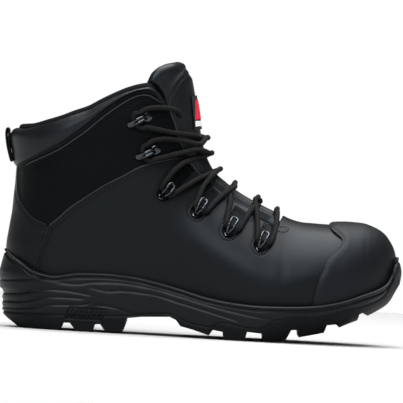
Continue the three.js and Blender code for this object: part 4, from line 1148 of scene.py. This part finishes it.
def lace_half(name, side):
    """The lace's stretches on one side of the middle."""
    over = (lace_line[:, 1] - centre_y(lace_line[:, 0])) * side > 0
    ends = np.flatnonzero(np.diff(over.astype(int)))
    parts, start = [], 0
    for end in list(ends + 1) + [len(lace_line)]:
        if over[start]:
            a, b = max(0, start - 1), min(len(lace_line), end + 1)
            piece = lace_line[a:b]
            up = np.stack([piece[:, 0] - 120, 3 * (piece[:, 1]), piece[:, 2] - 60], 1)
            up /= np.linalg.norm(up, axis=1, keepdims=True)
            parts.append(tube(piece, up, LACE_R, 12))
        start = end
    return merged(name, parts)


lace_lateral = lace_half("lace_lateral", OUTER)
lace_medial = lace_half("lace_medial", INNER)


# ---- gussets, pull tab and footbed ----
def gusset(name, side):
    """The folded bellows between the tongue's edge and the boot, and its flat size in metres."""
    t = np.linspace(0.26, 0.86, 66)
    past = np.linspace(-0.9, 8.2, 16)
    p, d = instep_at(t * TONGUE_SHARE)
    v = np.array([opening_reach(s) for s in t])
    v = np.convolve(np.pad(v, 3, "edge"), np.ones(7) / 7, "valid")[:, None] + past[None, :]
    x = p[:, :1] - d[:, 1:] * v
    z = p[:, 1:] + d[:, :1] * v
    fold = 8.4 + 0.7 * np.sin(past / 9.1 * 2 * math.pi)[None, :] + 0.12 * np.sin(t * 90)[:, None]
    pt, n = skin(x, z, side)
    outside, inside = pt - n * (fold - 0.35)[..., None], pt - n * (fold + 0.35)[..., None]
    middle = (outside + inside) / 2
    length = np.linalg.norm(np.diff(middle[:, 8], axis=0), axis=1).sum() / 1000
    width = np.linalg.norm(np.diff(middle[30], axis=0), axis=1).sum() / 1000
    return shell(name, [(outside, inside, side == OUTER)]), (round(width, 4), round(length, 4))


gusset_lateral, gusset_size = gusset("gusset_sheet_lateral", OUTER)
gusset_medial, _ = gusset("gusset_sheet_medial", INNER)


def webbing(line, thick, half_width, sides=28):
    """A closed loop of flat webbing in the middle plane, with rounded edges."""
    line = np.asarray(line, float)
    t = np.roll(line, -1, 0) - np.roll(line, 1, 0)
    t /= np.linalg.norm(t, axis=1, keepdims=True)
    out = np.stack([t[:, 1], -t[:, 0]], 1)
    angle = np.arange(sides) * 2 * math.pi / sides
    flat = np.sign(np.cos(angle)) * np.abs(np.cos(angle)) ** 0.35 * half_width
    up = np.sign(np.sin(angle)) * np.abs(np.sin(angle)) ** 0.7 * thick / 2
    count = len(line)
    points = np.zeros((count, sides, 3))
    points[..., 0] = line[:, :1] + out[:, :1] * up
    points[..., 2] = line[:, 1:] + out[:, 1:] * up
    points[..., 1] = flat
    ids = np.arange(count * sides).reshape(count, sides)
    ids = np.vstack([ids, ids[:1]])
    ids = np.hstack([ids, ids[:, :1]])
    return points.reshape(-1, 3), grid_faces(ids, False).tolist()


TAB = [(2.3, 127.6), (0.3, 133), (-1.8, 141), (-2.85, 149), (-2.5, 151.9), (-1.7, 152.8), (-0.9, 151.8),
       (-0.7, 149), (-0.1, 141.2), (1.1, 134.2), (2.9, 128.6)]
tab_line = curve(TAB, 0.5, closed=True)[:-1]
pull_tab = facing_out(merged("pull_tab_webbing", [webbing(tab_line, 1.6, 9.6)]))


def footbed_sheet():
    c = COLUMNS[(COLUMNS > 3) & (COLUMNS < 296)][::2]
    x = c + 5
    across = np.concatenate([np.linspace(0, 0.86, 14), np.linspace(0.86, 1, 9)[1:]])
    z = board_z(x)[:, None] + 5.8 + 0 * across[None, :]
    grids = []
    for side in (OUTER, INNER):
        px = column_x(c[:, None], z)
        edge = off_skin(px[:, -1], z[:, -1], side, np.full(len(c), -7.2))
        mid = np.stack([edge[:, 0], centre_y(edge[:, 0]), edge[:, 2]], 1)
        p = mid[:, None] + (edge - mid)[:, None] * across[None, :, None]
        rim = (1 - across[None, :]) * np.abs(edge[:, 1] - mid[:, 1])[:, None]
        round_off = np.sqrt(np.clip(1 - (1 - np.clip(rim / 2.0, 0, 1)) ** 2, 0.02, 1))
        crease = -0.22 * np.exp(-((rim - 5) / 0.6) ** 2)
        base = board_z(p[..., 0])
        top, low = p.copy(), p.copy()
        top[..., 2] = base + FOOTBED_MID + FOOTBED_HALF * round_off + crease
        low[..., 2] = base + FOOTBED_MID - FOOTBED_HALF * round_off
        grids.append((top, low, side == OUTER))
    return shell("footbed_foam", grids)


footbed = facing_out(footbed_sheet())


# ---- materials ----
def material(name, colour, rough, metal=0.0, specular=0.5):
    m = bpy.data.materials.new(name)
    m.use_nodes = True
    b = m.node_tree.nodes["Principled BSDF"]
    b.inputs["Base Color"].default_value = (*colour, 1)
    b.inputs["Roughness"].default_value = rough
    b.inputs["Metallic"].default_value = metal
    b.inputs["Specular IOR Level"].default_value = specular
    b.inputs["Specular Tint"].default_value = (0.84, 0.94, 1.0, 1)
    return m


def node(m, kind, **inputs):
    """A new node, with inputs given by their names, spaces written as underscores."""
    n = m.node_tree.nodes.new(kind)
    for key, value in inputs.items():
        n.inputs[key.replace("_", " ")].default_value = value
    return n


def link(m, a, out, b, inp):
    m.node_tree.links.new(a.outputs[out], b.inputs[inp])


EVEN, PITTED = "ShaderNodeTexNoise", "ShaderNodeTexVoronoi"


def grain(m, scale, strength, distance, kind, colour, darker):
    """Relief and a slight change of tone, from a pattern fixed to the piece."""
    place = node(m, "ShaderNodeTexCoord")
    pattern = node(m, kind, Scale=scale)
    value = "Distance"
    if kind == EVEN:
        pattern.inputs["Detail"].default_value = 3.0
        value = "Fac"
    link(m, place, "Object", pattern, "Vector")
    bump = node(m, "ShaderNodeBump", Strength=strength, Distance=distance)
    link(m, pattern, value, bump, "Height")
    b = m.node_tree.nodes["Principled BSDF"]
    link(m, bump, "Normal", b, "Normal")
    blend = node(m, "ShaderNodeMix")
    blend.data_type = "RGBA"
    blend.inputs[6].default_value = (*[c * darker for c in colour], 1)
    blend.inputs[7].default_value = (*colour, 1)
    link(m, pattern, value, blend, "Factor")
    link(m, blend, 2, b, "Base Color")


def grained(name, colour, rough, scale, strength, distance, darker, kind=EVEN, **gloss):
    """A material with a grain of its own colour."""
    m = material(name, colour, rough, **gloss)
    grain(m, scale, strength, distance, kind, colour, darker)
    return m


def varied_gloss(m, scale, low, high):
    """Roughness that drifts between two values across the piece."""
    place = node(m, "ShaderNodeTexCoord")
    noise = node(m, EVEN, Scale=scale)
    link(m, place, "Object", noise, "Vector")
    span = node(m, "ShaderNodeMapRange", From_Min=0.3, From_Max=0.7, To_Min=low, To_Max=high)
    link(m, noise, "Fac", span, "Value")
    link(m, span, "Result", m.node_tree.nodes["Principled BSDF"], "Roughness")


leather = grained("smooth_black_leather", (0.0036, 0.0044, 0.0052),
                  0.4, 950, 0.16, 0.0003, 0.8, specular=0.16)
varied_gloss(leather, 26, 0.38, 0.48)
shaft_leather = grained("shaft_leather", (0.0019, 0.0022, 0.0025),
                        0.45, 620, 0.3, 0.0004, 0.7, PITTED, specular=0.065)
soft_leather = grained("soft_padded_leather", (0.0048, 0.0056, 0.0066),
                       0.4, 700, 0.3, 0.0004, 0.75, specular=0.24)
cap_leather = grained("scuff_cap_leather", (0.0045, 0.0053, 0.0064),
                      0.52, 1200, 0.12, 0.0002, 0.85, specular=0.19)
rubber = grained("outsole_rubber", (0.004, 0.0043, 0.0048), 0.55, 1300, 0.25, 0.0002, 0.75, specular=0.13)
foam = grained("midsole_polyurethane", (0.004, 0.0043, 0.005), 0.42, 1100, 0.22, 0.0002, 0.8, specular=0.19)
woven = material("woven_textile", (0.006, 0.0064, 0.007), 0.85, specular=0.1)
grain(woven, 900, 0.6, 0.0005, PITTED, (0.0075, 0.008, 0.009), 0.4)
lace_cloth = material("lace_braid", (0.008, 0.0074, 0.0068), 0.8, specular=0.14)
grain(lace_cloth, 1100, 0.8, 0.0006, PITTED, (0.0105, 0.0098, 0.009), 0.35)
thread_cloth = material("stitching_thread", (0.004, 0.0042, 0.0046), 0.6, specular=0.15)
# The beads along the cut edges of the vamp and quarter are lighter than the leather: a painted highlight for
# the light those edges catch.
painted_edge_highlight = material("cut_leather_edge_painted_highlight", (0.02, 0.022, 0.0245), 0.4, specular=0.3)
gunmetal = grained("black_chrome", (0.06, 0.067, 0.074), 0.15, 500, 0.05, 0.0002, 0.85, metal=1.0)
steel = grained("plain_steel", (0.45, 0.45, 0.46), 0.38, 400, 0.05, 0.0002, 0.85, metal=1.0)
board = grained("fibre_board", (0.26, 0.21, 0.15), 0.85, 700, 0.3, 0.0003, 0.8)
insole_foam = grained("footbed_cloth", (0.02, 0.021, 0.023),
                      0.85, 1000, 0.5, 0.0004, 0.6, PITTED, specular=0.2)
label_black = grained("label_weave", (0.02, 0.02, 0.021), 0.8, 1500, 0.4, 0.0002, 0.7, specular=0.2)
label_red_cloth = grained("label_red_weave", (0.62, 0.018, 0.045),
                          0.75, 1500, 0.3, 0.0002, 0.85, specular=0.2)
label_white_cloth = grained("label_white_weave", (0.78, 0.78, 0.77),
                            0.75, 1500, 0.3, 0.0002, 0.9, specular=0.2)


def dress(obj, cloth):
    obj.data.set_sharp_from_angle(angle=math.radians(80 if cloth in (foam, rubber) else 50))
    obj.data.materials.clear()
    obj.data.materials.append(cloth)


# ---- each piece: its material, its slot, the CAD nodes that it stands for, and its body ----
FINISH = [
    (vamp, leather, "leather", ["vamp"], "boot"),
    (counter, leather, "leather", ["heel_counter"], "boot"),
    (quarter, shaft_leather, "leather", ["quarter_lateral"], "boot"),
    (other, shaft_leather, "leather", ["quarter_medial"], "boot"),
    (backing, shaft_leather, "leather", ["eyestay_backing_lateral"], "boot"),
    (backing_2, shaft_leather, "leather", ["eyestay_backing_medial"], "boot"),
    (cap, cap_leather, "leather", ["toe_scuff_cap"], "boot"),
    (collar, soft_leather, "soft_leather", ["collar"], "boot"),
    (lining, woven, "textile", ["lining"], "boot"),
    (sole, rubber, "outsole_rubber", ["outsole"], "boot"),
    (midsole, foam, "midsole_foam", ["midsole"], "boot"),
    (collar_piping, rubber, "soft_leather", [], "boot"),
    (rear_piping, rubber, "soft_leather", [], "boot"),
    # The edge beads are real shape, and their lighter colour is a painted highlight.
    (quarter_edge, painted_edge_highlight, "leather", [], "boot"),
    (vamp_rim, painted_edge_highlight, "leather", [], "boot"),
    (thread, thread_cloth, "textile", [], "boot"),
    (loop_thread, thread_cloth, "textile", [], "boot"),
    (tip_thread, thread_cloth, "textile", [], "boot"),
    (tongue, soft_leather, "soft_leather", ["tongue"], "tongue"),
    (label, label_black, "label", ["tongue_label"], "tongue"),
    (label_red, label_red_cloth, "label", ["tongue_label"], "tongue"),
    (label_white, label_white_cloth, "label", ["tongue_label"], "tongue"),
    (pull_tab, woven, "textile", ["pull_tab"], "pull_tab"),
    (footbed, insole_foam, "footbed_foam", ["footbed"], "footbed"),
]
FINISH += [(piece, gunmetal, "gunmetal", [name], "boot") for piece, name in hardware]
for piece, cloth, slot, names, body in FINISH:
    dress(piece, cloth)
    if names:
        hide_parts(*names)
    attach(piece, body)
for piece, name, side in ((lace_lateral, "lace", OUTER), (lace_medial, "lace", INNER),
                          (gusset_lateral, "gusset_lateral", OUTER),
                          (gusset_medial, "gusset_medial", INNER)):
    dress(piece, lace_cloth if name == "lace" else woven)
    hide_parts(name)
    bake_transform(piece)
for name, finish_with, slot in (("steel_toe_cap", steel, "steel"), ("shank", steel, "steel"),
                                ("heel_stiffener", board, "board"), ("insole_board", board, "board"),
                                ("puncture_plate", woven, "textile")):
    dress(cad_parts[name], finish_with)


# ---- floor, world and lights ----
def floor(half, below, grey):
    mesh = bpy.data.meshes.new("floor")
    mesh.from_pydata([(-half, -half, 0), (half, -half, 0), (half, half, 0), (-half, half, 0)], [],
                     [(0, 1, 2, 3)])
    obj = bpy.data.objects.new("floor", mesh)
    obj.location = (0, 0, -below)
    bpy.context.scene.collection.objects.link(obj)
    mesh.materials.append(material("floor_paint", (grey, grey, grey), 0.9, specular=0.1))


floor(1.2, 0.0005, 0.46)


def soft_light(name, power, size, at, towards):
    data = bpy.data.lights.new(name, "AREA")
    data.energy = power
    data.shape = "RECTANGLE"
    data.size, data.size_y = size
    obj = bpy.data.objects.new(name, data)
    obj.location = at
    obj.rotation_euler = (Vector(towards) - Vector(at)).to_track_quat("-Z", "Y").to_euler()
    bpy.context.scene.collection.objects.link(obj)


soft_light("overhead", 190, (3.2, 2.4), (0.15, 0.0, 2.6), (0.1, 0, 0))
soft_light("front_soft", 42, (1.2, 0.8), (-0.3, -2.2, 1.7), (0, 0, 0.08))
# The studio is pale at the floor's level and up to a little above the horizon, and dark higher up.
world = bpy.data.worlds.new("studio")
bpy.context.scene.world = world
world.use_nodes = True
sky = world.node_tree.nodes["Background"]
sky.inputs["Color"].default_value = (1, 1, 1, 1)
way = node(world, "ShaderNodeTexCoord")
parts = node(world, "ShaderNodeSeparateXYZ")
level = node(world, "ShaderNodeMapRange", From_Min=0.06, From_Max=0.12, To_Min=1.0, To_Max=0.07)
level.interpolation_type = "SMOOTHSTEP"
link(world, way, "Generated", parts, 0)
link(world, parts, "Z", level, "Value")
link(world, level, "Result", sky, "Strength")
bpy.context.scene.view_settings.view_transform = "Standard"
